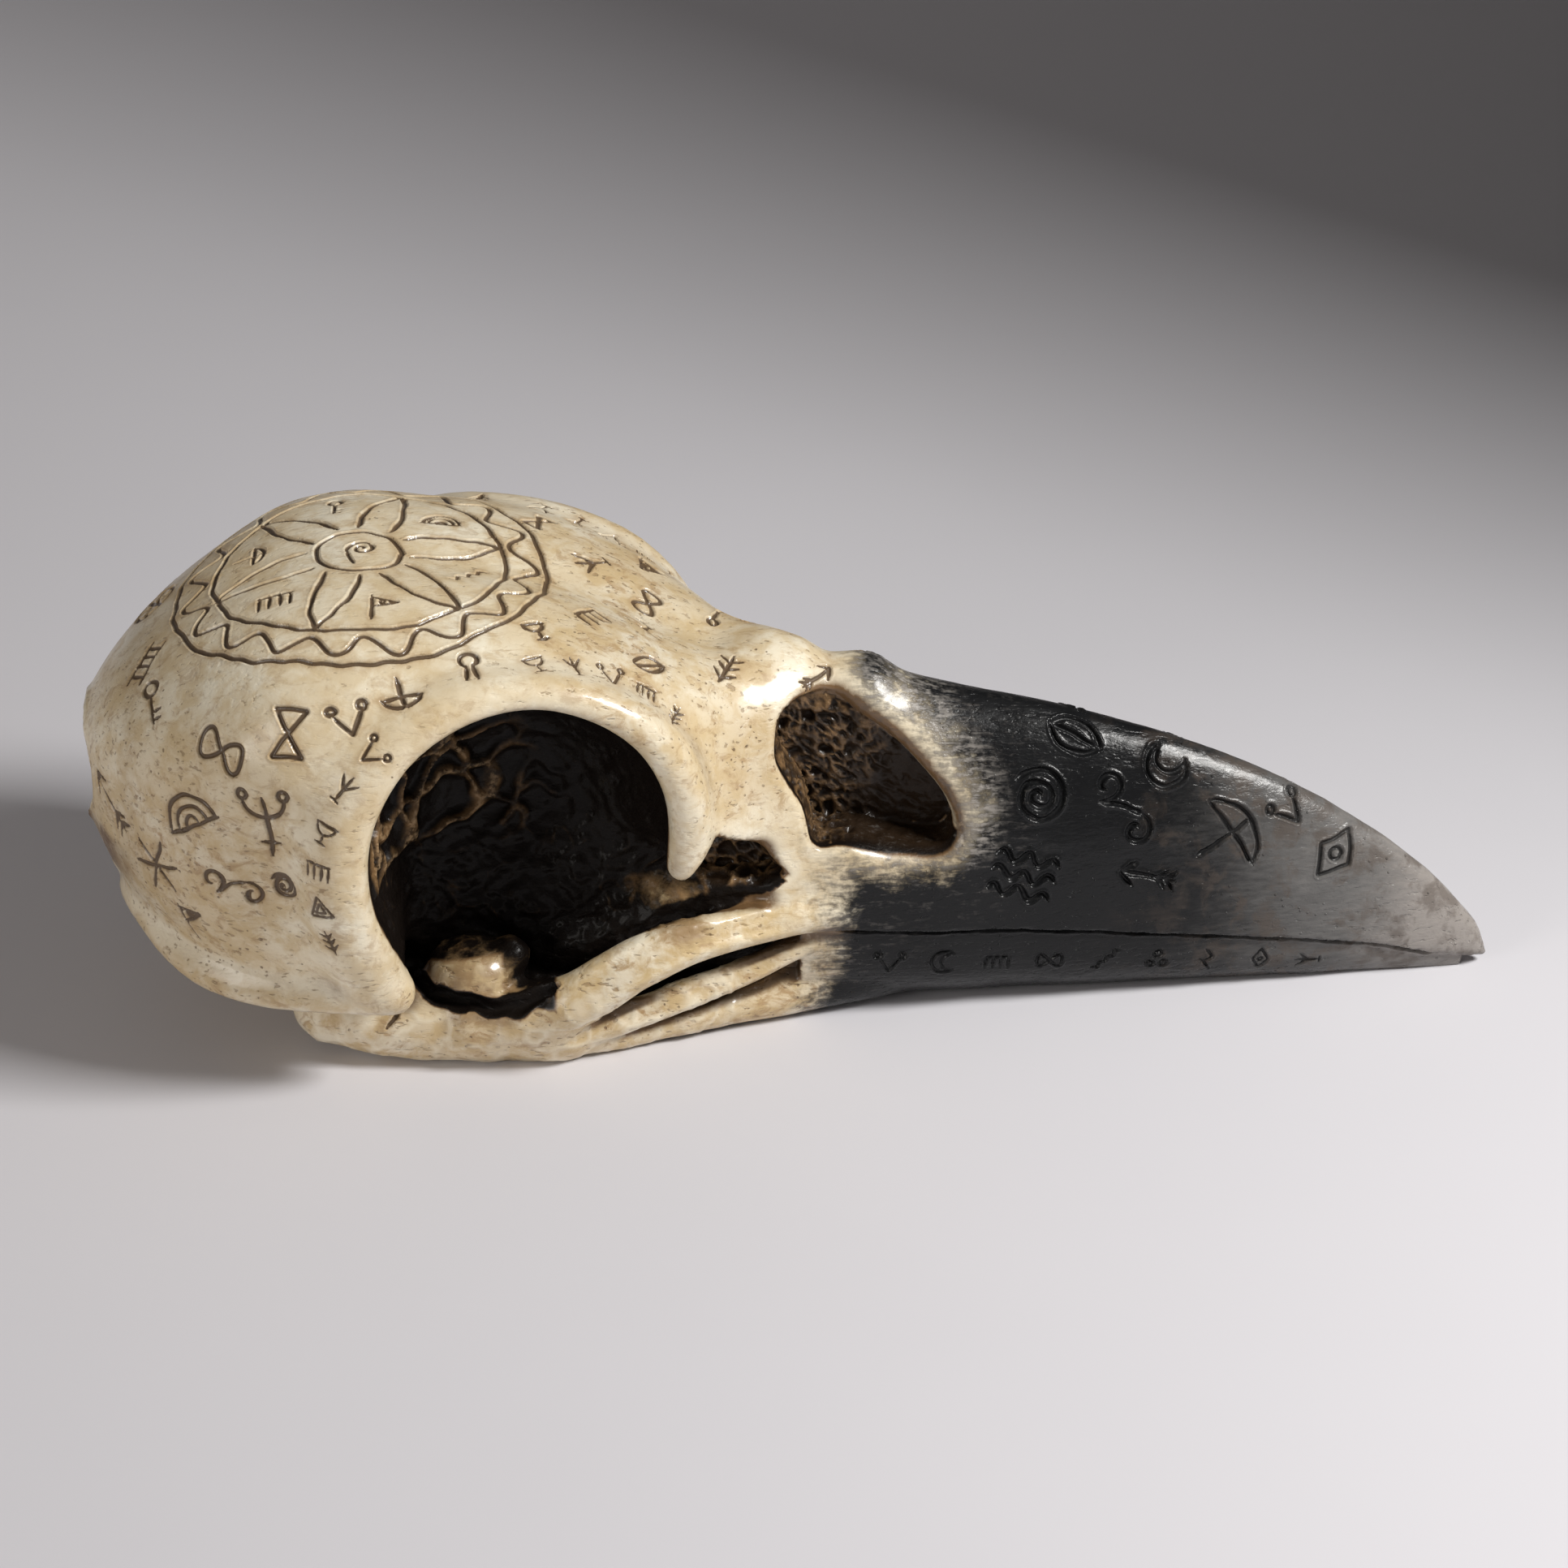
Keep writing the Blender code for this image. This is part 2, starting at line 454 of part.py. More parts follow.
def bodies(ob):
    """Closed bodies of a mesh as (volume, centre, vertex count, set of faces), largest first."""
    bm = bmesh.new()
    bm.from_mesh(ob.data)
    bm.verts.index_update()
    bm.faces.index_update()
    seen, found = set(), []
    for v in bm.verts:
        if v.index in seen:
            continue
        todo, island = [v], []
        seen.add(v.index)
        while todo:
            w = todo.pop()
            island.append(w)
            for e in w.link_edges:
                o = e.other_vert(w)
                if o.index not in seen:
                    seen.add(o.index)
                    todo.append(o)
        piece = bmesh.new()
        new = {w.index: piece.verts.new(w.co) for w in island}
        done = set()
        for w in island:
            for f in w.link_faces:
                if f.index not in done:
                    done.add(f.index)
                    piece.faces.new([new[t.index] for t in f.verts])
        piece.normal_update()
        c = np.mean([w.co for w in island], axis=0) / MM + (CENTRE_X, 0, 0)
        found.append((abs(piece.calc_volume()) / MM ** 3, c, piece))
    bm.free()
    return sorted(found, key=lambda t: -t[0])


def keep(name, body, mat):
    vol, c, piece = body
    bmesh.ops.triangulate(piece, faces=piece.faces)
    bmesh.ops.recalc_face_normals(piece, faces=piece.faces)
    me = bpy.data.meshes.new(name)
    piece.to_mesh(me)
    piece.free()
    me.materials.append(mat)
    for f in me.polygons:
        f.use_smooth = False
    return link(bpy.data.objects.new(name, me))


# ------------------------------------------------------------------ build
for ob in list(bpy.data.objects):
    bpy.data.objects.remove(ob, do_unlink=True)
PIECES, CUTTERS = bpy.data.collections.new("raven_skull"), bpy.data.collections.new("cutters")
for c in (PIECES, CUTTERS):
    bpy.context.scene.collection.children.link(c)

bone, horn, dark = material("antiqued_bone", BONE, 0.45), material("black_bill", HORN, 0.3), material("brown_bone", DARK, 0.5)

verts, quads = surface(form, (-106.5, -45.0, -3.0), (112.0, 45.0, 78.0), GRID)
whole = bodies(to_object("skull", verts, quads))
skull = bpy.data.objects["skull"]
whole[0][2].to_mesh(skull.data)
tri = skull.modifiers.new("triangles", "TRIANGULATE")
thin = skull.modifiers.new("thin", "DECIMATE")
thin.decimate_type = "COLLAPSE"
thin.ratio = FACES / (2.0 * len(quads))
half = skull.modifiers.new("halves", "MIRROR")
half.use_axis = (False, True, False)
half.use_bisect_axis = (False, True, False)
half.use_clip = True
half.merge_threshold = half.bisect_threshold = 0.00005
baked(skull)

# the floor cuts small flats under the lower bill and the two sides of the jaw
floor = prism("floor", [(-130, 60), (130, 60)], -6, 0, 0)
boolean(skull, floor, "DIFFERENCE")

# the bill parts from the cranium at the hinge, and upper from lower along the mouth
mouth = [(x, float(curve(np.array([float(x)]), WIDE_Z)[0]) - MOUTH_STEP + 0.1) for x in (12, 22, 34, 46, 58, 70, 82, 92, 99, 104, 112)]
cuts = [ribbon("cut_hinge_and_mouth", HINGE + mouth, (-50, 50), "XZ"),
        ribbon("cut_chin", [(6.0, 17.2), (6.0, -4.0)], (-50, 50), "XZ"),
        ribbon("cut_under_cranium", UNDER_CRANIUM, (-50, 50), "XZ")]
for c in cuts:
    boolean(skull, c, "DIFFERENCE")


def take(found, test):
    """The largest body whose middle passes the test."""
    return next(b for b in found if test(*b[1]))


above = bodies(skull)
under = keep("under_cranium", take(above, lambda x, y, z: x < 0 and z < 20), bone)
keep("cranium", take(above, lambda x, y, z: x < 0 and z > 30), bone)
keep("upper_beak", take(above, lambda x, y, z: x > 6 and z > 12), horn)
keep("lower_beak", take(above, lambda x, y, z: x > 6 and z < 12), horn)

# under the cranium: the core in the middle, and outside it the cheek bars and the two sides of the lower jaw
core = boolean(prism("core_low", BASE_LOW, -4, BASE_STEP_Z, 0.0),
               prism("core_high", BASE_HIGH, BASE_STEP_Z - 0.01, 30, 0.0), "UNION")
round_core = boolean(prism("round_core_low", BASE_LOW, -5, BASE_STEP_Z + GAP, GAP),
                     prism("round_core_high", BASE_HIGH, BASE_STEP_Z - 0.01, 31, GAP), "UNION")
keep("skull_base", bodies(boolean(copy_of(under, "core"), core, "INTERSECT"))[0], dark)
boolean(under, round_core, "DIFFERENCE")
for side, lo, hi in (("right", -50, -3), ("left", 3, 50)):
    boolean(under, ribbon("cut_cheek_" + side, CHEEK_CUT, (lo, hi), "XZ"), "DIFFERENCE")
below = bodies(under)
for side, s in (("right", -1), ("left", 1)):
    keep("jaw_" + side, take(below, lambda x, y, z: y * s > 0 and z < 14), bone)
    keep("cheek_bar_" + side, take(below, lambda x, y, z: y * s > 0 and z >= 14), bone)

# only the finished pieces stay
KEPT = ("cranium", "upper_beak", "lower_beak", "skull_base", "jaw_right", "jaw_left", "cheek_bar_right", "cheek_bar_left")
for ob in list(bpy.data.objects):
    if ob.name not in KEPT:
        bpy.data.objects.remove(ob, do_unlink=True)
for ob in bpy.data.objects:
    print(ob.name, len(ob.data.polygons), [round(c * 1000, 2) for v in (ob.bound_box[0], ob.bound_box[6]) for c in v])
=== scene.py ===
import bpy
import bmesh
import numpy as np
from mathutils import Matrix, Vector, noise
from mathutils.bvhtree import BVHTree
from mathutils.kdtree import KDTree


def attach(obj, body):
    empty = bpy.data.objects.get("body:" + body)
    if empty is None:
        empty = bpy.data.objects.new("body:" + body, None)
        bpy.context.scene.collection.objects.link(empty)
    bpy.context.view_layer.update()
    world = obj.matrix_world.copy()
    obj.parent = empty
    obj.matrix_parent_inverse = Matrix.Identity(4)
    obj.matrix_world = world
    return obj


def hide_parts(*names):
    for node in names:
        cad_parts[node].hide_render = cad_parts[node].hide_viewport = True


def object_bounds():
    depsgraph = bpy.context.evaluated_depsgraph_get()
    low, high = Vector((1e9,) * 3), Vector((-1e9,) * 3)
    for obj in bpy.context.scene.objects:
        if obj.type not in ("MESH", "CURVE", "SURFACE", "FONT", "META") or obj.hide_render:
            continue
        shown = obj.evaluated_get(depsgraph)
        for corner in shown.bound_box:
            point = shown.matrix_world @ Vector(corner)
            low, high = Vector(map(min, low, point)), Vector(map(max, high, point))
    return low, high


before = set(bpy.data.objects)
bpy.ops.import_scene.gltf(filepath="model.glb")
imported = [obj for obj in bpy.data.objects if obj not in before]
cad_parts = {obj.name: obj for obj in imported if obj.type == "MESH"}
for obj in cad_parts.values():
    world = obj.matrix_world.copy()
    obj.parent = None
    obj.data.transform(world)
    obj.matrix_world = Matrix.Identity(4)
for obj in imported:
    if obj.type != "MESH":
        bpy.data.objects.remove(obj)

CAD_BOX = [list(map(float, c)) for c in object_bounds()]


# ------------------------------------------------------------------ driving sizes, millimetres
MM = 0.001
CENTRE_X = 1.82           # distance from the middle of the length to the field's own zero
SUNK = 0.6                # the form is drawn this much through the floor, and the floor then cuts its flats

# braincase and upper bill, each table is (x, value)
BACK_X, BACK_L = -61.5, 41.6                       # where the braincase starts to close, and over what length
BACK_WIDE, BACK_UP, BACK_DOWN = 1.85, 1.75, 3.0    # how squarely it closes in plan, above and below
HALF_WIDTH = [(-110, 39.7), (-74, 39.4), (-62, 38.4), (-52, 36.4), (-42, 33.6), (-32, 31.0), (-24, 29.0), (-18, 27.0),
              (-13, 24.6), (-8, 20.8), (-3, 18.4), (3, 17.2), (12, 16.6), (22, 15.6), (35, 13.7), (50, 11.7),
              (65, 9.5), (80, 7.1), (92, 4.9), (100, 3.4), (105, 2.3), (107.3, 1.5), (108.3, 0.2)]
TOP = [(-110, 74.4), (-80, 74.4), (-66, 73.8), (-55, 73.2), (-44, 71.8), (-32, 68.4), (-24, 65.0), (-16, 61.0),
       (-9, 58.8), (-3, 58.6), (2, 57.4), (7, 55.0), (13, 53.4), (18, 51.4), (28, 48.9), (40.5, 46.1), (53, 42.3),
       (65.4, 37.7), (78, 31.4), (90.8, 22.9), (98, 16.8), (102, 12.6), (105, 9.0), (106.8, 6.2), (107.8, 3.6), (108.2, 2.2)]
WIDE_Z = [(-110, 44.0), (-60, 43.0), (-40, 44.0), (-25, 42.0), (-14, 36.0), (-6, 27.0), (2, 20.0), (8.6, 17.8),
          (34, 15.6), (65, 11.4), (91, 6.7), (103, 3.0), (108.3, 1.7)]
DROP = [(-110, 30.5), (-60, 31.0), (-20, 30.0), (-8, 16.0), (2, 3.5), (8, 1.6), (60, 1.2), (100, 0.8), (108.3, 0.4)]
TOP_N = [(-110, 2.6), (-88, 2.6), (-72, 3.1), (-56, 3.1), (-42, 3.6), (-32, 4.2), (-22, 3.9), (-12, 2.9), (-4, 2.2),
         (6, 1.95), (30, 1.8), (70, 1.75), (100, 1.9), (108.3, 2.0)]
LOW_N = [(-110, 3.1), (-80, 3.2), (-60, 3.4), (-10, 3.0), (4, 2.5), (108.3, 2.5)]
# lower bill
MOUTH_STEP = 0.9          # the lower bill is set in from the upper one by this much
LOW_BILL_X = (2.0, 104.5)
LOW_BILL_N = 2.5
# eye socket: middle and radii, then the sharper mouth of the socket inside the rim
SOCKET, SOCKET_R = (-38.6, 33.5, 41.0), (23.4, 25.0, 25.0)
SOCKET_LIP, SOCKET_LIP_R = (-38.6, 34.5, 39.8), (22.0, 26.0, 23.6)
SIDE_WALL_Y = 13.5        # half width of the core left between the cavities under the sockets
# bars, each point is (x, y, z, radius)
RIM = [(-57.6, 31.4, 16.5, 2.2), (-60.6, 33.2, 20.0, 3.2), (-63.8, 34.8, 28, 3.9), (-65.4, 35.6, 37, 4.2), (-64.6, 36.0, 46, 4.0),
       (-61.4, 35.4, 54.0, 3.6), (-56.0, 33.8, 60.0, 3.0), (-48.5, 31.2, 63.6, 2.8), (-39.5, 28.8, 64.4, 2.6),
       (-30.8, 27.2, 62.8, 2.6), (-23.0, 26.4, 59.0, 2.6), (-17.4, 26.0, 53.0, 2.6), (-14.8, 25.9, 46.0, 2.5),
       (-14.4, 25.2, 39.5, 2.2), (-15.6, 24.6, 33.4, 1.3)]
LIP = [(-99.0, 0, 20.8, 1.4), (-97.6, 8, 20.4, 1.6), (-94.4, 15, 19.4, 2.0), (-90.4, 21.5, 18.0, 2.2), (-85, 26.4, 16.8, 2.3),
       (-77, 30.3, 16.4, 2.3), (-66, 32.4, 16.6, 2.4), (-59.5, 31.8, 16.6, 2.3)]
CHEEK = [(8, 15.0, 20.0, 2.6), (0.9, 16.8, 20.0, 3.0), (-7.3, 19.8, 19.6, 3.0), (-14, 22.6, 19.6, 3.5), (-20, 24.6, 18.2, 3.9),
         (-26, 26.0, 15.4, 3.9), (-31.5, 26.2, 11.6, 4.2), (-38, 24.6, 8.2, 5.0), (-46, 22.6, 7.0, 6.0)]
JAW_UP = [(12, 13.6, 15.4, 1.4), (4, 14.9, 14.4, 1.7), (-4, 16.9, 11.6, 2.0), (-13, 19.9, 9.2, 2.2), (-22, 22.6, 7.2, 2.3),
          (-31, 23.8, 5.6, 2.8), (-40, 23.2, 5.4, 4.0)]
JAW_LO = [(16, 8.0, 4.6, 3.4), (6, 10.4, 4.2, 3.8), (-2, 13.0, 3.7, 3.4), (-11, 16.0, 3.4, 3.0), (-19, 19.0, 2.8, 2.5),
          (-27, 21.8, 2.5, 2.3), (-35, 23.2, 3.0, 3.0), (-44, 22.6, 4.0, 4.0)]
JAW_BACK = [(-34, 22.4, 4.9, 5.3), (-46, 21.2, 6.1, 6.6), (-58, 20.8, 6.5, 6.8), (-68, 20.4, 8.0, 5.9)]
PALATE = [(-40, 11.0, 10.0, 3.0), (-30, 13.0, 14.0, 3.4), (-18, 13.5, 20.5, 3.8), (-6, 12.5, 25.0, 4.4), (2, 10.0, 26, 5.0)]
# openings in the side of the face, outlines in (x, z)
NARIS = [(-1.3, 51.0), (2.2, 52.0), (9.7, 48.6), (16.9, 42.6), (22.6, 36.3), (24.4, 31.6), (23.0, 29.0), (14.6, 30.6),
         (9.7, 31.2), (3.8, 30.6), (2.4, 37.6), (0.4, 40.6), (-2.0, 45.2)]
NARIS_WALL_Y = 5.0        # half thickness of the partition between the nostrils
WINDOW = [(-10.6, 36.8), (-6.0, 33.6), (-0.2, 27.6), (-4.0, 26.0), (-12.0, 26.0), (-16.5, 28.6)]
WINDOW_WALL_Y = 11.5
# where the body is parted, lines in (x, z) or (x, y)
HINGE = [(-10.5, 82.0), (6.0, 17.0)]
UNDER_CRANIUM = [(4.1, 25.0), (-16.0, 25.5), (-30.0, 21.0), (-52.4, 21.0), (-54.9, 13.9), (-112.0, 13.9)]
CHEEK_CUT = [(6.3, 17.0), (-4.0, 15.2), (-13.0, 13.8), (-22.0, 11.6), (-26.0, 10.1), (-31.0, 8.6), (-35.5, 10.4), (-37.6, 14.0), (-38.0, 27.0)]
BASE_LOW = [(-82, 13.5), (-19, 13.8), (-11, 12.6), (-2, 9.2), (6.4, 6.0)]
BASE_HIGH = [(-82, 13.5), (-52, 13.5), (-40, 15.0), (-30, 17.6), (-16, 18.0), (-6, 16.9), (2, 14.0), (6.4, 12.4)]
BASE_STEP_Z = 9.5


# ------------------------------------------------------------------ field
def curve(x, knots):
    """Monotone cubic through (x, value) knots, level beyond the ends."""
    k = np.asarray(knots, float)
    xs, ys = k[:, 0], k[:, 1]
    h = np.diff(xs)
    s = np.diff(ys) / h
    m = np.empty_like(ys)
    m[0], m[-1] = s[0], s[-1]
    w1, w2 = 2 * h[1:] + h[:-1], h[1:] + 2 * h[:-1]
    with np.errstate(divide="ignore", invalid="ignore"):
        hm = (w1 + w2) / (w1 / s[:-1] + w2 / s[1:])
    m[1:-1] = np.where(s[:-1] * s[1:] > 0, hm, 0.0)
    x = np.clip(x, xs[0], xs[-1])
    i = np.clip(np.searchsorted(xs, x, side="right") - 1, 0, len(h) - 1)
    t = (x - xs[i]) / h[i]
    t2, t3 = t * t, t * t * t
    return ((2 * t3 - 3 * t2 + 1) * ys[i] + (t3 - 2 * t2 + t) * h[i] * m[i]
            + (-2 * t3 + 3 * t2) * ys[i + 1] + (t3 - t2) * h[i] * m[i + 1])


def smin(a, b, k):
    """Union with a fillet of about k."""
    h = np.clip(0.5 + 0.5 * (b - a) / k, 0, 1)
    return b * (1 - h) + a * h - k * h * (1 - h)


def smax(a, b, k):
    return -smin(-a, -b, k)


def step(x, a, b):
    t = np.clip((x - a) / (b - a), 0, 1)
    return t * t * (3 - 2 * t)


def ball(p, c, r, tilt=0.0):
    """Ellipsoid, tilted in degrees about Y."""
    q = p - np.asarray(c, float)
    if tilt:
        a = np.radians(tilt)
        ca, sa = np.cos(a), np.sin(a)
        q = np.stack([q[:, 0] * ca + q[:, 2] * sa, q[:, 1], -q[:, 0] * sa + q[:, 2] * ca], 1)
    r = np.asarray(r, float)
    k0 = np.linalg.norm(q / r, axis=1)
    k1 = np.linalg.norm(q / (r * r), axis=1)
    return k0 * (k0 - 1.0) / np.maximum(k1, 1e-9)


def smooth_path(pts, n):
    """n points on the smooth curve through pts."""
    P = np.asarray(pts, float)
    P = np.vstack([2 * P[0] - P[1], P, 2 * P[-1] - P[-2]])
    t = np.linspace(0, len(pts) - 1, n)
    i = np.minimum(t.astype(int), len(pts) - 2)
    t = (t - i)[:, None]
    a, b, c, d = P[i], P[i + 1], P[i + 2], P[i + 3]
    return 0.5 * (2 * b + (c - a) * t + (2 * a - 5 * b + 4 * c - d) * t * t + (3 * b - a - 3 * c + d) * t ** 3)


def bar(p, path):
    """Rounded bar along (x, y, z, radius) points."""
    best = np.full(len(p), 1e9)
    for a, b in zip(path[:-1], path[1:]):
        ab = b[:3] - a[:3]
        t = np.clip((p - a[:3]) @ ab / (ab @ ab), 0, 1)
        best = np.minimum(best, np.linalg.norm(p - a[:3] - t[:, None] * ab, axis=1) - (a[3] + (b[3] - a[3]) * t))
    return best


def block(p, c, half, r):
    """Box with rounded edges."""
    b = np.abs(p - np.asarray(c, float)) - np.asarray(half, float)
    return np.linalg.norm(np.maximum(b, 0), axis=1) + np.minimum(b.max(1), 0) - r


def outline(x, z, pts):
    """Distance to a closed outline in the XZ plane."""
    v = np.asarray(pts, float)
    d = np.full(x.shape, 1e18)
    s = np.ones(x.shape)
    for i in range(len(v)):
        j = i - 1
        ex, ez = v[j] - v[i]
        wx, wz = x - v[i, 0], z - v[i, 1]
        t = np.clip((wx * ex + wz * ez) / (ex * ex + ez * ez), 0, 1)
        d = np.minimum(d, (wx - ex * t) ** 2 + (wz - ez * t) ** 2)
        c1, c2, c3 = z >= v[i, 1], z < v[j, 1], ex * wz > ez * wx
        s = np.where((c1 & c2 & c3) | (~c1 & ~c2 & ~c3), -s, s)
    return s * np.sqrt(d)


RIM_P, LIP_P, CHEEK_P = smooth_path(RIM, 40), smooth_path(LIP, 20), smooth_path(CHEEK, 24)
JAW_UP_P, JAW_LO_P, JAW_BACK_P = smooth_path(JAW_UP, 16), smooth_path(JAW_LO, 16), smooth_path(JAW_BACK, 8)
PALATE_P = smooth_path(PALATE, 12)


def section(x, y, z):
    """1 on the surface of the lofted braincase and bill, less inside."""
    back = np.clip((BACK_X - x) / BACK_L, 0, 1)

    def close(e):
        return np.maximum(1 - back ** e, 1e-3) ** (1 / e)
    over = (np.where(x < BACK_X - BACK_L, (BACK_X - BACK_L - x) / 0.8, 0.0)
            + np.where(x > HALF_WIDTH[-1][0], (x - HALF_WIDTH[-1][0]) / 1.5, 0.0))
    w = curve(x, HALF_WIDTH) * close(BACK_WIDE)
    zw = curve(x, WIDE_Z)
    up = (curve(x, TOP) - zw) * close(BACK_UP)
    dn = curve(x, DROP) * close(BACK_DOWN)
    dz = z - zw
    h = np.where(dz > 0, up, dn)
    n = np.where(dz > 0, curve(x, TOP_N), curve(x, LOW_N))
    a = np.abs(y) / np.maximum(w, 0.05)
    b = np.abs(dz) / np.maximum(h, 0.05)
    return (a ** n + b ** n) ** (1 / n) + over


def loft(p):
    """Distance to the lofted braincase and bill."""
    x, y, z = p.T
    e = 0.3
    gx = section(x + e, y, z) - section(x - e, y, z)
    gy = section(x, y + e, z) - section(x, y - e, z)
    gz = section(x, y, z + e) - section(x, y, z - e)
    g = np.sqrt(gx * gx + gy * gy + gz * gz) / (2 * e)
    return np.clip((section(x, y, z) - 1) / np.maximum(g, 0.02), -14, 14)


def form(p):
    """Distance to the whole casting. Each feature is worked out only round its own place."""
    q = np.stack([p[:, 0], np.abs(p[:, 1]), p[:, 2]], 1)
    d = loft(q)

    def put(lo, hi, fn, m=9.0):
        i = np.nonzero(np.all((q > np.asarray(lo, float) - m) & (q < np.asarray(hi, float) + m), axis=1))[0]
        if len(i):
            d[i] = fn(q[i], d[i])

    # furrow along the middle of the forehead
    put((-66, 0, 48), (0, 20, 80), lambda s, e: e + 1.3 * np.exp(-(s[:, 1] / 6.0) ** 2) * step(s[:, 0], -66, -42)
        * (1 - step(s[:, 0], -12, -2)) * step(s[:, 2], 50, 58))
    # hollow of the temple, behind the rim of the socket
    put((-90, 30, 10), (-64, 60, 58), lambda s, e: smax(e, -ball(s, (-77, 48.5, 33), (11, 13, 22)), 8.0))
    # fullness over the hind brain
    put((-108, 0, 18), (-70, 16, 56), lambda s, e: smin(e, ball(s, (-90.5, 0, 40), (13.4, 11, 12)), 5.0))
    # lip round the lower edge of the braincase, with a hollow under it
    put((-102, 0, 12), (-56, 36, 30), lambda s, e: smin(e, bar(s, LIP_P), 4.5))
    put((-98, 0, 0), (-48, 32, 20), lambda s, e: smax(e, -ball(s, (-73, 0, 7.0), (24.5, 30.0, 12.5)), 2.0))
    # opening for the spine and the knob under it
    put((-108, 0, 18), (-90, 8, 34), lambda s, e: smin(smax(e, -ball(s, (-101.5, 0, 28.2), (6.5, 4.4, 3.9), 20), 1.2),
                                                      ball(s, (-99.4, 0, 22.4), (2.4, 2.7, 2.1)), 1.2))
    # eye socket, joined to the cavity between the cheek bar and the palate
    put((-66, 6, -2), (4, 60, 70), lambda s, e: smax(e, -smin(
        ball(s, SOCKET, SOCKET_R),
        smax(smax(SIDE_WALL_Y - s[:, 1], s[:, 2] - 33, 4.0), smax(s[:, 0] + 3.0, -57.0 - s[:, 0], 4.0), 4.0), 6.0), 3.0))
    put((-70, 20, 10), (-10, 42, 70), lambda s, e: smin(e, bar(s, RIM_P), 4.5))
    put((-62, 6, 14), (-14, 60, 66), lambda s, e: smax(e, -ball(s, SOCKET_LIP, SOCKET_LIP_R), 1.4))
    # cheek bar and the two rails of the lower jaw, gathered in its thick hind end
    put((-54, 8, 0), (12, 34, 26), lambda s, e: smin(e, bar(s, CHEEK_P), 1.6))
    put((-78, 10, -2), (-26, 32, 18), lambda s, e: smin(e, bar(s, JAW_BACK_P), 2.0))
    put((-46, 8, 0), (14, 30, 20), lambda s, e: smin(e, bar(s, JAW_UP_P), 1.2))
    put((-50, 4, -2), (20, 30, 12), lambda s, e: smin(e, bar(s, JAW_LO_P), 1.2))

    # palate, jaw joint and the web between the jaws
    def core(s, e):
        e = smin(e, block(s, (-24, 0, 12), (38, 9, 5), 3.5), 4.0)
        e = smin(e, bar(s, PALATE_P), 3.0)
        e = smin(e, smin(ball(s, (-47.0, 20.0, 13.4), (7.2, 6.5, 5.0)), ball(s, (-41.4, 20.0, 16.0), (3.0, 3.0, 3.0)), 1.5), 1.5)
        web = np.stack([np.abs(s[:, 0] + 30) - 36, s[:, 1] - curve(s[:, 0], [(-72, 18), (-30, 20), (-10, 14), (8, 8)]),
                        np.abs(s[:, 2] - 6.0) - 1.6], 1)
        return smin(e, np.linalg.norm(np.maximum(web, 0), axis=1) + np.minimum(web.max(1), 0) - 1.0, 1.5)
    put((-76, -1, 0), (22, 30, 32), core)

    # lower bill, set in under the edge of the upper one
    def lower_bill(s, e):
        zm = curve(s[:, 0], WIDE_Z) - MOUTH_STEP
        w = np.maximum(curve(s[:, 0], HALF_WIDTH) - MOUTH_STEP, 0.3)
        h = zm + SUNK
        a, b = s[:, 1] / w, np.where(s[:, 2] < zm, (zm - s[:, 2]) / h, 0)
        f = ((a ** LOW_BILL_N + b ** LOW_BILL_N) ** (1 / LOW_BILL_N) - 1) * np.minimum(w, h)
        f = np.maximum(np.maximum(f, s[:, 2] - zm - 0.2), np.maximum(LOW_BILL_X[0] - s[:, 0], s[:, 0] - LOW_BILL_X[1]))
        return smin(e, f, 0.6)
    put((2, -1, -2), (106, 18, 20), lower_bill)

    # nostril, softer along its upper front edge, and the small window before the socket
    def holes(s, e):
        k = 0.9 + 3.2 * step(s[:, 0] + (s[:, 2] - 30) * 0.35, 6, 16)
        e = smax(e, -np.maximum(outline(s[:, 0], s[:, 2], NARIS) - 0.3 * (k - 0.9), NARIS_WALL_Y - s[:, 1]), k)
        return smax(e, -np.maximum(outline(s[:, 0], s[:, 2], WINDOW), WINDOW_WALL_Y - s[:, 1]), 1.2)
    put((-18, 3, 24), (26, 26, 54), holes)
    return smax(d, -q[:, 2] - SUNK, 0.3)


def untangle(vol):
    """Fill the few grid corners where two sheets of the surface would meet at a point or along a line."""
    offs = [(i, j, k) for i in (0, 1) for j in (0, 1) for k in (0, 1)]
    links = [(a, b) for a in range(8) for b in range(a) if sum(abs(p - q) for p, q in zip(offs[a], offs[b])) == 1]
    squares = [[n for n, o in enumerate(offs) if o[a] == side] for a in range(3) for side in (0, 1)]
    bad = np.zeros(256, bool)
    for code in range(256):
        inside = [bool(code >> n & 1) for n in range(8)]
        group = list(range(8))
        for _ in range(8):
            for a, b in links:
                if inside[a] == inside[b]:
                    group[a] = group[b] = min(group[a], group[b])
        clash = any(inside[q[0]] == inside[q[3]] != inside[q[1]] == inside[q[2]] for q in squares)
        bad[code] = clash or len(set(group)) > 2
    weights = [1 << n for n in range(8)]
    for _ in range(30):
        s = vol < 0
        n = [m - 1 for m in vol.shape]
        code = sum(w * s[o[0]:o[0] + n[0], o[1]:o[1] + n[1], o[2]:o[2] + n[2]].astype(int) for w, o in zip(weights, offs))
        cells = np.argwhere(bad[code])
        if not len(cells):
            break
        corners = cells[:, None] + np.array(offs)
        values = vol[tuple(corners.reshape(-1, 3).T)].reshape(-1, 8)
        values[values < 0] = 1e9
        pick = corners[np.arange(len(cells)), values.argmin(1)]
        vol[tuple(pick.T)] = -0.05
    return vol


# ------------------------------------------------------------------ the surface as triangles, millimetres
H = 0.8                   # grid spacing of the sculpted surface
FINE = 0.2                # triangle size beside a cut line
LO, HI = (-106.6, 0.0, -3.2), (112.0, 44.0, 78.0)


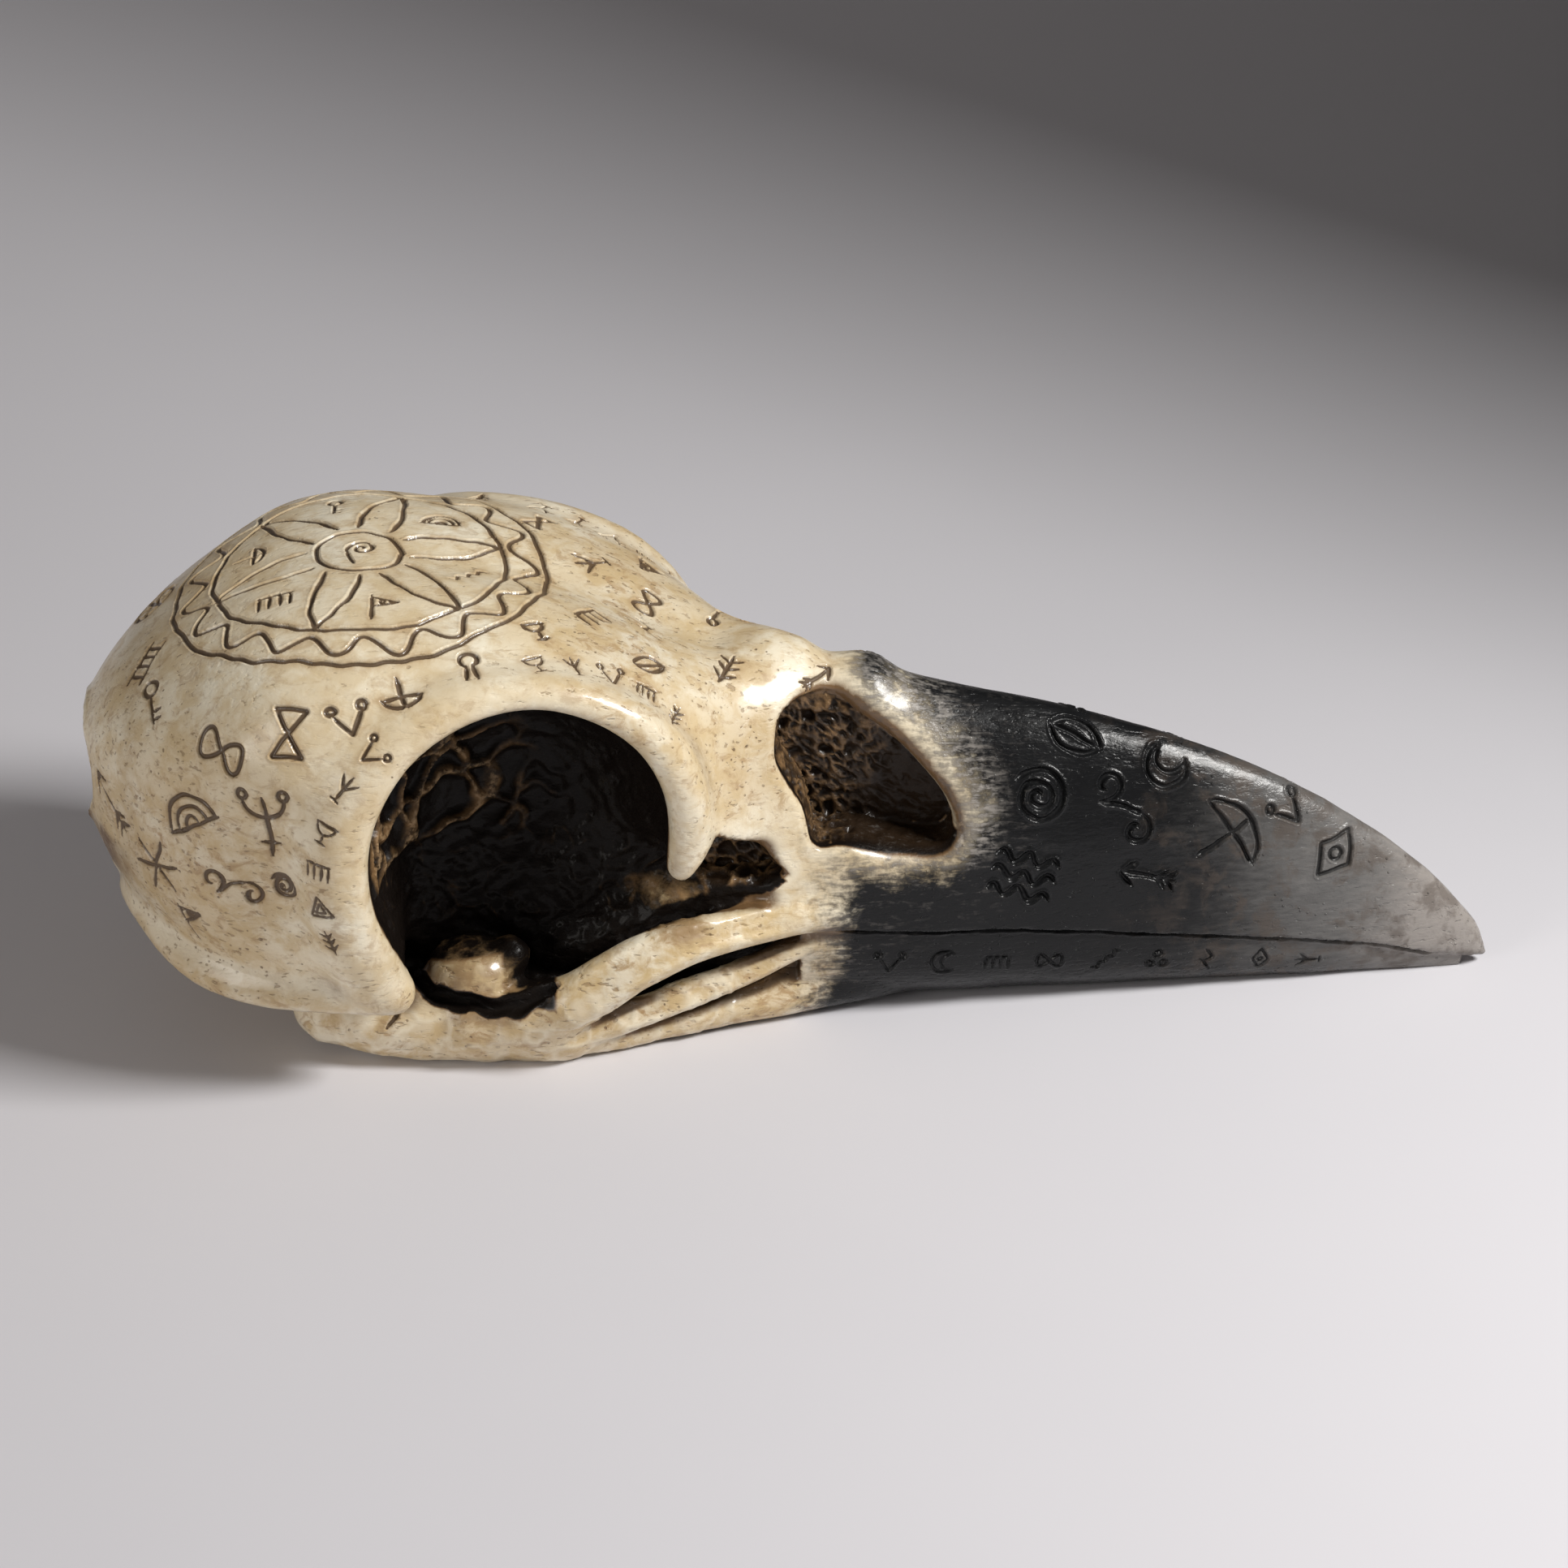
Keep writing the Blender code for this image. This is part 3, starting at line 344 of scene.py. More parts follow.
def rounded(pts):
    """Closed outline with its corners cut twice."""
    P = np.asarray(pts, float)
    for _ in range(2):
        Q = np.roll(P, -1, 0)
        P = np.stack([0.8 * P + 0.2 * Q, 0.2 * P + 0.8 * Q], 1).reshape(-1, 2)
    return P


NARIS = rounded(NARIS)


def sample(h, side=8, pad=1.2, batch=60):
    """Field on the y >= 0 half of a grid, worked out near the surface only, then mirrored."""
    lo = np.array(LO, float)
    n = np.ceil((np.asarray(HI) - lo) / h / side).astype(int) * side + 1
    vol = np.full(n, np.nan, np.float32)
    grid = [a.ravel() for a in np.meshgrid(*[np.arange(0, m - 1, side) for m in n], indexing="ij")]
    cubes = np.stack(grid, 1)
    half = side * h / 2
    mid = form(lo + h * cubes + half)
    far = np.abs(mid) > half * np.sqrt(3) * 1.3 + pad
    for (i, j, k), d in zip(cubes[far], mid[far]):
        vol[i:i + side + 1, j:j + side + 1, k:k + side + 1] = 9.0 if d > 0 else -9.0
    g = np.arange(side + 1)
    g = np.stack(np.meshgrid(g, g, g, indexing="ij"), -1).reshape(-1, 3)
    near = cubes[~far]
    for s in range(0, len(near), batch):
        part = near[s:s + batch]
        d = form((lo + h * (g[None] + part[:, None])).reshape(-1, 3)).astype(np.float32)
        for (i, j, k), c in zip(part, d.reshape(len(part), side + 1, side + 1, side + 1)):
            vol[i:i + side + 1, j:j + side + 1, k:k + side + 1] = c
    return np.concatenate([vol[:, :0:-1], vol], axis=1), np.array([lo[0], -h * (n[1] - 1), lo[2]])


def nets(vol, lo, h):
    """Closed quads of the zero level, one vertex in each grid cell that the surface crosses."""
    s = vol < 0
    n = [m - 1 for m in vol.shape]
    offs = [(i, j, k) for i in (0, 1) for j in (0, 1) for k in (0, 1)]
    count = np.zeros(n, np.int8)
    for c in offs:
        count += s[c[0]:c[0] + n[0], c[1]:c[1] + n[1], c[2]:c[2] + n[2]]
    on = (count > 0) & (count < 8)
    index = np.full(n, -1, np.int64)
    cells = np.argwhere(on)
    index[on] = np.arange(len(cells))
    corner = {c: vol[tuple((cells + c).T)].astype(float) for c in offs}
    total, hits = np.zeros((len(cells), 3)), np.zeros(len(cells))
    for c in offs:
        for a in range(3):
            if c[a] == 0:
                e = tuple(1 if t == a else c[t] for t in range(3))
                m = (corner[c] < 0) != (corner[e] < 0)
                pt = np.tile(np.array(c, float), (m.sum(), 1))
                pt[:, a] = corner[c][m] / (corner[c][m] - corner[e][m])
                total[m] += pt
                hits[m] += 1
    verts = lo + h * (cells + total / hits[:, None])
    quads = []
    for a in range(3):
        u, w = (a + 1) % 3, (a + 2) % 3
        s0, s1 = [slice(1, -1)] * 3, [slice(1, -1)] * 3
        s0[a], s1[a] = slice(0, -1), slice(1, None)
        e = np.argwhere(s[tuple(s0)] != s[tuple(s1)]) + np.array([0 if t == a else 1 for t in range(3)])

        def cell(du, dw):
            c = e.copy()
            c[:, u] += du
            c[:, w] += dw
            return index[tuple(c.T)]
        f = np.stack([cell(-1, -1), cell(0, -1), cell(0, 0), cell(-1, 0)], 1)
        flip = ~s[tuple(e.T)]
        f[flip] = f[flip][:, ::-1]
        quads.append(f)
    return verts, np.concatenate(quads)


def islands(count, edges):
    """Number of the connected part that each vertex is in."""
    lab = np.arange(count)
    a, b = edges.T
    while True:
        low = np.minimum(lab[a], lab[b])
        new = lab.copy()
        np.minimum.at(new, a, low)
        np.minimum.at(new, b, low)
        new = new[new]
        new = new[new]
        if (new == lab).all():
            return lab
        lab = new


def gradient(p, e=0.06):
    g = np.empty_like(p)
    for a in range(3):
        q, r = p.copy(), p.copy()
        q[:, a] += e
        r[:, a] -= e
        g[:, a] = form(q) - form(r)
    return g / (2 * e)


def unit(v):
    return v / np.maximum(np.linalg.norm(v, axis=-1, keepdims=True), 1e-12)


vol, low = sample(H)
V, Q = nets(untangle(vol), low, H)
lab = islands(len(V), np.vstack([Q[:, [0, 1]], Q[:, [1, 2]], Q[:, [2, 3]]]))
main = np.bincount(lab).argmax()
Q = Q[lab[Q[:, 0]] == main]
used, Q = np.unique(Q, return_inverse=True)
V, Q = V[used], Q.reshape(-1, 4)
G = gradient(V)
V = V - np.clip(form(V) / np.maximum((G * G).sum(1), 0.05), -0.35, 0.35)[:, None] * G
N = unit(G)
short = np.linalg.norm(V[Q[:, 0]] - V[Q[:, 2]], axis=1) <= np.linalg.norm(V[Q[:, 1]] - V[Q[:, 3]], axis=1)
T = np.vstack([Q[short][:, [0, 1, 2]], Q[short][:, [0, 2, 3]], Q[~short][:, [0, 1, 3]], Q[~short][:, [1, 2, 3]]])

# ------------------------------------------------------------------ where the casting is hollow, dark or painted
X, Y, Z = V[:, 0], np.abs(V[:, 1]), V[:, 2]
cover = np.stack([X, Y, Z], 1)
DEPTH = -smin(loft(cover), bar(cover, RIM_P), 4.5)      # below the skin the casting would have without its openings
# occlusion masks: how enclosed each place is; the paint uses them for painted shade in creases and recesses
OCC1, OCC3, OCC7 = [np.clip(1 - form(V + N * r) / r, 0, 1) for r in (1.0, 3.0, 7.0)]
ring = np.sqrt(((X - SOCKET_LIP[0]) / 23.4) ** 2 + ((Z - 40.3) / 25.2) ** 2)
IN_SOCKET = 1 - step(ring, 0.99, 1.05)
INNER = np.interp(X, [-62, -46, -31, -20, -7, 1, 8, 12], [21.0, 20.5, 22.0, 20.0, 15.5, 12.5, 10.5, 9.0])
IN_CAVITY = step(X, -65.0, -61.5) * (1 - step(X, -0.5, 3.0)) * (1 - step(Z, 31.0, 34.0)) * step(DEPTH, 1.2, 3.2)
IN_CAVITY = np.maximum(IN_CAVITY, (1 - step(Y, INNER - 1.2, INNER + 1.2)) * (1 - step(Z, 22, 26)) * step(X, -62, -58) * (1 - step(X, 3, 9)))
IN_WINDOW = 1 - step(outline(X, Z, WINDOW), 0.0, 0.9)
SILL = step(X, -13, -9) * (1 - step(X + 0.2 + 1.4 * np.abs(26.6 - Z), -0.6, 0.8)) * step(Z, 23.4, 24.4) * (1 - step(Z, 27.5, 28.5))
bevel = step(X + 0.35 * (Z - 30), 7, 14) * (1 - step(N[:, 2], -0.1, 0.35))
IN_NARIS = (1 - step(outline(X, Z, NARIS), 0.6 - 0.9 * bevel, 2.6 - 1.7 * bevel)) * step(DEPTH, 0.15 + 0.7 * bevel, 0.6 + 1.8 * bevel)
edge_soft = 0.9 + 1.6 * step(X + (Z - 30) * 0.35, 8, 18) * (1 - step(N[:, 2], 0.0, 0.5))
HOLLOW = np.maximum.reduce([IN_SOCKET * step(DEPTH, 0.9, 3.0), IN_CAVITY, IN_WINDOW * step(DEPTH, 0.9, 2.4), 0.9 * SILL,
                            IN_NARIS * step(DEPTH, 0.3 * edge_soft, 1.7 * edge_soft)])
LUMP = np.exp(-((X + 46) / 8.5) ** 2 - ((Z - 13) / 5.5) ** 2) * step(Y, 11, 15)
LUMP = np.maximum(LUMP, 0.8 * np.exp(-((X + 16.5) / 7.5) ** 2 - ((Z - 23.5) / 3.0) ** 2) * step(Y, 9, 13))
# how convex each place is; the paint makes convex edges lighter, partly wear and partly painted highlight
CONVEX = np.clip(1 + form(V - N * 2.2) / 2.2, 0, 1)
# less painted shade on the low back, on the back end of the braincase above its middle, and at the bill tip
back_low = step(-X, 64, 74) * (1 - step(Z, 24, 30))
back_low = np.maximum(0.65 * back_low, 0.9 * (1 - step(X, -99, -95)) * step(Z, 33, 36))
back_low = np.maximum(back_low, step(X, 97, 101))
OCC1, OCC3, OCC7 = OCC1 * (1 - back_low), OCC3 * (1 - back_low), OCC7 * (1 - back_low)
BRIDGE = step(X, -43, -41.5) * (1 - step(X, -35.6, -33.8)) * step(Z, 11.4, 12.6) * (1 - step(Z, 19, 23)) * step(Y, 17, 20)
HOLLOW = np.maximum(HOLLOW, BRIDGE)
border = np.interp(Z, [0, 3, 10, 17, 20, 27, 45, 51, 60], [4.0, 5.0, 7.5, 9.5, 8.5, 8.0, 9.0, 15.5, 13.0])
around = outline(X, Z, NARIS) - np.interp(Z, [25, 31, 37, 50], [2.4, 3.6, 5.2, 6.0])
PAINT = np.minimum(X - border, around) + 6.0 * np.exp(-((X - 12.6) / 3.4) ** 2 - ((Z - 54) / 3.2) ** 2)
attr = {"hollow": HOLLOW, "occ1": OCC1, "occ3": OCC3, "occ7": OCC7, "paint": PAINT, "socket": IN_SOCKET * step(DEPTH, 2.0, 5.0),
        "naris": IN_NARIS * step(DEPTH, 1.5, 4.0), "window": IN_WINDOW * step(DEPTH, 1.2, 2.4), "cavity": IN_CAVITY, "convex": CONVEX, "lump": LUMP * (1 - step(OCC3, 0.25, 0.7))}
NAMES = list(attr)
A = np.stack([attr[n] for n in NAMES], 1)

# ------------------------------------------------------------------ engraved signs: strokes in a unit square
rng = np.random.default_rng(11)


def line(*p):
    return np.array(p, float)


def arc(cx, cy, r, a0=0.0, a1=360.0, ry=None):
    a = np.radians(np.linspace(a0, a1, max(8, int(abs(a1 - a0) / 9))))
    return np.stack([cx + r * np.cos(a), cy + (r if ry is None else ry) * np.sin(a)], 1)


def curl(cx, cy, r0, r1, a0, a1):
    a = np.linspace(a0, a1, max(12, int(abs(a1 - a0) / 12)))
    r = np.linspace(r0, r1, len(a))
    return np.stack([cx + r * np.cos(np.radians(a)), cy + r * np.sin(np.radians(a))], 1)


def wave(y, a, n, x0=-1.0, x1=1.0):
    x = np.linspace(x0, x1, 30)
    return np.stack([x, y + a * np.sin((x - x0) / (x1 - x0) * n * 2 * np.pi)], 1)


def wedge(x, y, a, s, tail=1.0):
    """Small wedge head with its tail."""
    a = np.radians(a)
    c, n = np.array([np.cos(a), np.sin(a)]), np.array([-np.sin(a), np.cos(a)])
    o = np.array([x, y])
    return [line(o + n * s * 0.5, o - n * s * 0.5, o + c * s * 0.75, o + n * s * 0.5), line(o + c * s * 0.6, o + c * s * (0.75 + tail))]


SIGNS = {
    "sun": [arc(0, 0, 0.42)] + [line((0.6 * c, 0.6 * s), (c, s)) for c, s in [(np.cos(a), np.sin(a)) for a in np.radians(np.arange(0, 360, 45))]],
    "moon": [arc(0, 0, 0.95, 48, 312), arc(0.42, 0, 0.72, 80, 280), line((0.62, 0.72), (0.53, 0.7)), line((0.62, -0.72), (0.53, -0.7))],
    "spiral": [curl(0, 0, 0.08, 0.95, 0, 860)],
    "fern": [line((-0.5, -1.0), (-0.46, 0.1)), arc(0.12, 0.1, 0.58, 180, 40), curl(0.2, 0.2, 0.45, 0.08, 40, -420)],
    "peak": [line((-0.85, -0.7), (0, 0.9), (0.85, -0.7), (-0.85, -0.7)), line((-0.4, -0.4), (0, 0.3), (0.4, -0.4), (-0.4, -0.4))],
    "arrow": [line((0, -1), (0, 1)), line((-0.42, 0.5), (0, 1), (0.42, 0.5)), line((-0.36, -1), (0, -0.68), (0.36, -1)),
              line((-0.36, -0.72), (0, -0.4), (0.36, -0.72))],
    "foot": [line((0, -1), (0, 1)), line((-0.68, 0.8), (0, -0.05), (0.68, 0.8)), line((-0.3, -1), (0.3, -1))],
    "key": [arc(0, 0.62, 0.36), line((0, 0.26), (0, -1)), line((0, -0.55), (0.42, -0.55)), line((0, -0.95), (0.34, -0.95))],
    "glass": [line((-0.62, 0.95), (0.62, 0.95), (-0.62, -0.95), (0.62, -0.95), (-0.62, 0.95))],
    "waves": [wave(0.55, 0.17, 2.5), wave(0.0, 0.17, 2.5), wave(-0.55, 0.17, 2.5)],
    "ladder": [line((-0.4, -1), (-0.4, 1)), line((0.4, -1), (0.4, 1))] + [line((-0.4, y), (0.4, y)) for y in (-0.65, -0.2, 0.25, 0.7)],
    "leaf": [arc(0, -0.75, 1.2, 32, 148, 1.2), arc(0, 0.52, 1.2, 212, 328, 1.2), line((-1.0, -0.12), (1.0, -0.12))],
    "rings4": [arc(0, 0.62, 0.26), arc(0.62, 0, 0.26), arc(0, -0.62, 0.26), arc(-0.62, 0, 0.26)],
    "rings3": [arc(-0.5, -0.4, 0.3), arc(0.5, -0.4, 0.3), arc(0, 0.5, 0.3)],
    "twig": [line((0, -1), (0, 1))] + [line((-0.5, y + 0.4), (0, y), (0.5, y + 0.4)) for y in (-0.6, -0.1, 0.4)],
    "diamond": [line((0, 0.95), (0.62, 0), (0, -0.95), (-0.62, 0), (0, 0.95)), arc(0, 0, 0.2)],
    "trident": [line((0, -1), (0, 0.95)), arc(0, 0.9, 0.62, 180, 360), arc(-0.62, 1.0, 0.14), arc(0.62, 1.0, 0.14), line((-0.3, -0.55), (0.3, -0.55))],
    "comb": [line((-0.9, 0.5), (0.9, 0.5))] + [line((x, 0.5), (x, -0.6)) for x in (-0.8, -0.27, 0.27, 0.8)],
    "bolt": [line((-0.3, 1), (0.32, 0.28), (-0.32, -0.18), (0.3, -1)), line((-0.62, 0.1), (-0.3, -0.2), (-0.05, 0.0))],
    "cup": [arc(0, 0.45, 0.72, 180, 360), line((-0.8, 0.45), (0.8, 0.45)), line((0, -0.27), (0, -0.95)), line((-0.4, -0.95), (0.4, -0.95))],
    "star6": [line((-0.87, -0.5), (0.87, 0.5)), line((-0.87, 0.5), (0.87, -0.5)), line((0, -1), (0, 1))],
    "shell": [arc(0, -0.5, 0.95, 0, 180), arc(0, -0.5, 0.62, 0, 180), arc(0, -0.5, 0.3, 0, 180), line((-1.05, -0.5), (1.05, -0.5))],
    "wheel": [arc(0, 0, 0.92)] + [line((0.9 * np.cos(a), 0.9 * np.sin(a)), (-0.9 * np.cos(a), -0.9 * np.sin(a))) for a in np.radians([15, 75, 135])],
    "eight": [np.stack([0.95 * np.sin(2 * t) * 0.55, 0.95 * np.sin(t)], 1) for t in [np.linspace(0, 2 * np.pi, 50)]],
    "hooks": [curl(-0.55, 0.35, 0.1, 0.42, 270, -90), line((-0.55, -0.07), (0.1, 0.1), (0.55, 0.07)), curl(0.55, -0.35, 0.42, 0.1, 90, -270)],
    "vee": [line((-0.72, 0.48), (0, -0.75), (0.72, 0.48)), arc(-0.8, 0.68, 0.22), arc(0.8, 0.68, 0.22)],
    "eyering": [arc(0, 0, 0.95), arc(0, 0, 0.5), curl(0, 0, 0.05, 0.24, 0, 400)],
    "stair": [line((-0.9, -0.8), (-0.45, -0.8), (-0.45, -0.25), (0.05, -0.25), (0.05, 0.3), (0.5, 0.3), (0.5, 0.85), (0.95, 0.85))],
    "loopstem": [arc(0, 0.5, 0.42, -70, 250), line((-0.14, 0.1), (-0.3, -0.95)), line((0.14, 0.1), (0.3, -0.95))],
    "pair": [line((-0.7, 0.9), (-0.7, -0.9)), line((0.7, 0.9), (0.7, -0.9)), arc(0, 0, 0.34), line((-0.7, 0), (-0.34, 0)), line((0.34, 0), (0.7, 0))],
    "flag": [line((-0.6, -1), (-0.6, 1)), line((-0.6, 0.9), (0.7, 0.45), (-0.6, 0.05)), arc(-0.05, 0.47, 0.12)],
    "bow": [arc(-0.5, 0, 1.1, -58, 58), line((0.08, 0.93), (0.08, -0.93)), line((-0.9, 0), (0.6, 0))],
    "w1": wedge(-0.6, 0.9, -90, 0.7, 1.3) + wedge(0.1, 0.9, -90, 0.7, 1.3) + wedge(-0.9, -0.9, 0, 0.6, 1.0),
    "w2": wedge(-0.5, 0.8, -60, 0.7, 1.2) + wedge(0.7, 0.8, -120, 0.7, 1.2),
    "w3": wedge(0.0, 1.0, -90, 0.8, 1.2) + wedge(-0.8, 0.1, -20, 0.6, 0.8) + wedge(0.8, -0.2, 200, 0.6, 0.6),
    "w4": wedge(-0.7, 0.5, 0, 0.6, 1.2) + wedge(-0.7, -0.4, 0, 0.6, 1.2),
    "w5": wedge(-0.2, 1.0, -80, 0.7, 1.4) + [line((-0.7, -0.2), (0.7, 0.1)), line((0.4, 0.9), (0.6, -0.7))],
}


def spaced(p, gap):
    """Points along a polyline, about gap apart."""
    d = np.linalg.norm(np.diff(p, axis=0), axis=1)
    s = np.concatenate([[0], np.cumsum(d)])
    t = np.linspace(0, s[-1], max(3, int(s[-1] / gap) + 1))
    return np.stack([np.interp(t, s, p[:, i]) for i in range(p.shape[1])], 1)


def softened(p, n=2):
    """Corners of a hand-drawn line, slightly rounded."""
    for _ in range(n):
        p[1:-1] = 0.25 * p[:-2] + 0.5 * p[1:-1] + 0.25 * p[2:]
    return p


tree = BVHTree.FromPolygons([tuple(c) for c in V.tolist()], T.tolist())
STROKES = []              # each: points, half width, depth


def engrave(strokes, at, size, turn=0.0, wide=0.48, deep=0.44, reach=7.0, facing=None, shake=0.13):
    """Lay strokes on the surface round a point, upright as seen from outside."""
    loc, nrm, _, _ = tree.find_nearest(Vector(at))
    n = np.array(nrm) if facing is None else np.array(facing, float)
    up = np.array([0.0, -0.5 if at[1] > 0.5 else 0.5, 0.866])
    up = unit(up - (up @ n) * n)
    right = np.cross(up, n)
    c, s = np.cos(np.radians(turn)), np.sin(np.radians(turn))
    for q in strokes:
        q = np.array(q, float) * size
        q = softened(spaced(q, 0.12), 4)
        k = np.arange(len(q)) * 0.12
        ph = rng.uniform(0, 6.28, 4)
        q = q + shake * np.stack([np.sin(k / 1.9 + ph[0]) + 0.5 * np.sin(k / 0.8 + ph[1]), np.sin(k / 2.2 + ph[2]) + 0.5 * np.sin(k / 0.7 + ph[3])], 1)
        q = q @ np.array([[c, s], [-s, c]])
        run = []
        for u, v in q:
            o = Vector(np.array(loc) + right * u + up * v + n * reach)
            hit, hn, _, _ = tree.ray_cast(o, Vector(-n), reach * 2.6)
            if hit is not None and hn.dot(Vector(n)) > 0.2:
                run.append(hit)
            elif run:
                lay(np.array(run), wide, deep, ph)
                run = []
        if run:
            lay(np.array(run), wide, deep, ph)


def lay(p, wide, deep, ph):
    if len(p) < 5:
        return
    jump = np.linalg.norm(np.diff(p, axis=0), axis=1)
    cut = np.nonzero(jump > 0.9)[0]
    for part in np.split(p, cut + 1):
        if len(part) < 5:
            continue
        k = np.arange(len(part)) * 0.12
        end = np.minimum(k, k[::-1])
        w = wide * (1 + 0.13 * np.sin(k / 1.7 + ph[0]) + 0.07 * np.sin(k / 0.6 + ph[2])) * (0.55 + 0.45 * step(end, 0.0, 0.9))
        d = deep * (1 + 0.15 * np.sin(k / 2.3 + ph[1])) * (0.5 + 0.5 * step(end, 0.0, 0.8))
        if np.linalg.norm(part[0] - part[-1]) < 0.6 and len(part) > 20:
            w, d = np.full(len(part), wide), np.full(len(part), deep)
        STROKES.append((part, w, d))


# crown medallion: a six-petalled compass rosette in a ring, a wavy line round it, and one small sign between each two petals
CROWN = (-62.5, 0.0, 73.8)
R_OUT, R_IN = 27.5, 21.5
PETALS = [15 + 60 * i for i in range(6)]


def outside_hub(p):
    """The stretches of a line that lie outside the rosette's hub."""
    p = spaced(p, 0.3)
    free = np.linalg.norm(p, axis=1) > 7.4
    cuts = np.nonzero(np.diff(free.astype(int)))[0] + 1
    return [s for s, f in zip(np.split(p, cuts), np.split(free, cuts)) if f[0] and len(s) > 3]


medal = []
for p in [arc(R_IN * np.cos(np.radians(t)), R_IN * np.sin(np.radians(t)), R_IN, t + 120, t + 240) for t in PETALS]:
    medal += outside_hub(p)
sway = np.radians(np.linspace(0, 360, 721))
medal += [arc(0, 0, R_OUT), arc(0, 0, R_IN), arc(0, 0, 6.2), np.stack([(24.5 + 1.6 * np.sin(18 * sway)) * np.cos(sway), (24.5 + 1.6 * np.sin(18 * sway)) * np.sin(sway)], 1)]
UPWARD = (0.0, 0.0, 1.0)
engrave(medal, CROWN, 1.0, 0, 0.48, 0.44, 30.0, UPWARD, 0.16)
engrave(SIGNS["fern"], CROWN, 3.6, 20, 0.4, 0.4, 30.0, UPWARD)
for t, s in zip(PETALS, ("shell", "key", "bow", "comb", "flag", "stair")):
    at = np.array([16.6 * np.cos(np.radians(t + 30)), 16.6 * np.sin(np.radians(t + 30))])
    engrave([q + at / 2.9 for q in SIGNS[s]], CROWN, 2.9, 0, 0.38, 0.38, 30.0, UPWARD, 0.08)

# signs over the side, back and brow: (sign on one side, sign on the other, place, half size, turn)
SPREAD = [
    ("shell", "bow", (-86.5, 28.8, 47.0), 5.2, 12), ("trident", "fern", (-75.0, 35.4, 47.5), 5.2, -6), ("eight", "vee", (-81.5, 31.0, 57.6), 4.2, 62),
    ("star6", "peak", (-91.5, 24.0, 35.0), 4.6, 20), ("arrow", "ladder", (-97.6, 16.0, 41.0), 5.0, 24), ("glass", "leaf", (-71.2, 33.4, 61.6), 3.6, -8),
    ("key", "rings3", (-92.4, 17.8, 58.6), 3.6, 30), ("bow", "cup", (-55.4, 31.8, 67.4), 3.2, -75), ("loopstem", "twig", (-45.6, 27.0, 69.4), 2.8, 8),
    ("hooks", "stair", (-80.8, 32.2, 35.8), 4.8, 8), ("ladder", "wheel", (-95.6, 9.6, 62.4), 3.8, 0), ("vee", "arrow", (-62.6, 35.0, 64.6), 2.8, 14),
    ("cup", "glass", (-36.2, 17.0, 70.0), 2.4, 10), ("comb", "foot", (-28.4, 8.6, 66.6), 3.0, 14), ("leaf", "peak", (-20.6, 15.0, 61.6), 2.6, -6),
    ("bolt", "eight", (-20.4, 4.2, 61.6), 3.0, -30), ("flag", "spiral", (-86.2, 27.0, 27.4), 3.2, 0), ("spiral", "hooks", (-73.6, 35.8, 37.0), 2.3, 0),
]
for one, other, (x, y, z), size, turn in SPREAD:
    engrave(SIGNS[one], (x, -y, z), size, turn)
    engrave(SIGNS[other], (x, y, z), size, -turn)

# small signs down the outside of the socket rim and along the brow
for sgn in (-1, 1):
    down = smooth_path([(-59.6, 37.6, 60.6, 0), (-63.6, 38.6, 55.4, 0), (-66.4, 39.4, 49.0, 0), (-67.9, 39.6, 42.4, 0), (-68.0, 39.5, 36.0, 0), (-66.8, 39.3, 29.8, 0)], 6)
    for i, (x, y, z, _) in enumerate(down):
        engrave(SIGNS[("vee", "foot", "cup", "comb", "peak", "twig")[i]], (x, sgn * y, z), 2.2, sgn * (58 - 12 * i), 0.33, 0.4, shake=0.06)
    for i, (x, y, z, s) in enumerate([(-36.4, 24.2, 67.6, 2.1), (-30.8, 22.8, 66.0, 1.9), (-25.4, 21.6, 63.8, 2.1), (-20.6, 21.0, 60.8, 1.8), (-16.6, 21.6, 56.8, 2.0)]):
        engrave(SIGNS[("cup", "foot", "vee", "comb", "twig")[i]], (x, sgn * y, z), s, sgn * 28 * (i - 1) * 0.6, 0.31, 0.38, shake=0.05)
    engrave(SIGNS["twig" if sgn < 0 else "vee"], (-8.4, sgn * 8.6, 58.6), 3.4, sgn * 40, 0.42, 0.42)

# knob over the nostrils, and the bill
engrave(SIGNS["arrow"], (5.2, -5.4, 54.6), 3.0, -60, 0.42, 0.42)
engrave(SIGNS["moon"], (11.4, 4.2, 52.6), 3.2, 30, 0.42, 0.42)
BILL = [("spiral", "sun", (38.0, 10.4, 36.0), 4.6, 0), ("hooks", "waves", (50.5, 8.6, 33.0), 6.4, -24), ("moon", "leaf", (57.6, 4.8, 38.4), 3.4, 60),
        ("leaf", "bow", (44.0, 4.6, 44.4), 4.2, -30), ("bow", "arrow", (67.0, 7.0, 27.2), 6.6, 36), ("diamond", "foot", (83.5, 4.3, 22.0), 4.6, -34),
        ("waves", "fern", (35.5, 13.2, 24.0), 5.0, -14), ("vee", "eight", (76.6, 4.2, 29.6), 3.0, 40), ("arrow", "hooks", (54.5, 10.2, 22.0), 4.2, 80)]
for one, other, (x, y, z), size, turn in BILL:
    engrave(SIGNS[one], (x, -y, z), size, turn, 0.46, 0.52)
    engrave(SIGNS[other], (x, y, z), size, -turn, 0.46, 0.52)
LOWER = [("vee", 15.5, 10.0), ("moon", 24.0, 9.6), ("comb", 32.0, 8.6), ("eight", 40.0, 8.2), ("stair", 48.6, 7.6), ("rings3", 56.6, 6.8), ("bolt", 64.4, 5.8), ("diamond", 72.6, 5.0), ("foot", 80.0, 4.0)]
for sgn in (-1, 1):
    for i, (name, x, z) in enumerate(LOWER if sgn < 0 else [(LOWER[-1 - i][0], x, z) for i, (_, x, z) in enumerate(LOWER)]):
        y = float(curve(np.array([x]), HALF_WIDTH)[0]) - MOUTH_STEP
        engrave(SIGNS[name], (x, sgn * y, z), 2.3 - 0.05 * i, 90 if name in ("eight", "foot") else 0, 0.30, 0.36, shake=0.06)

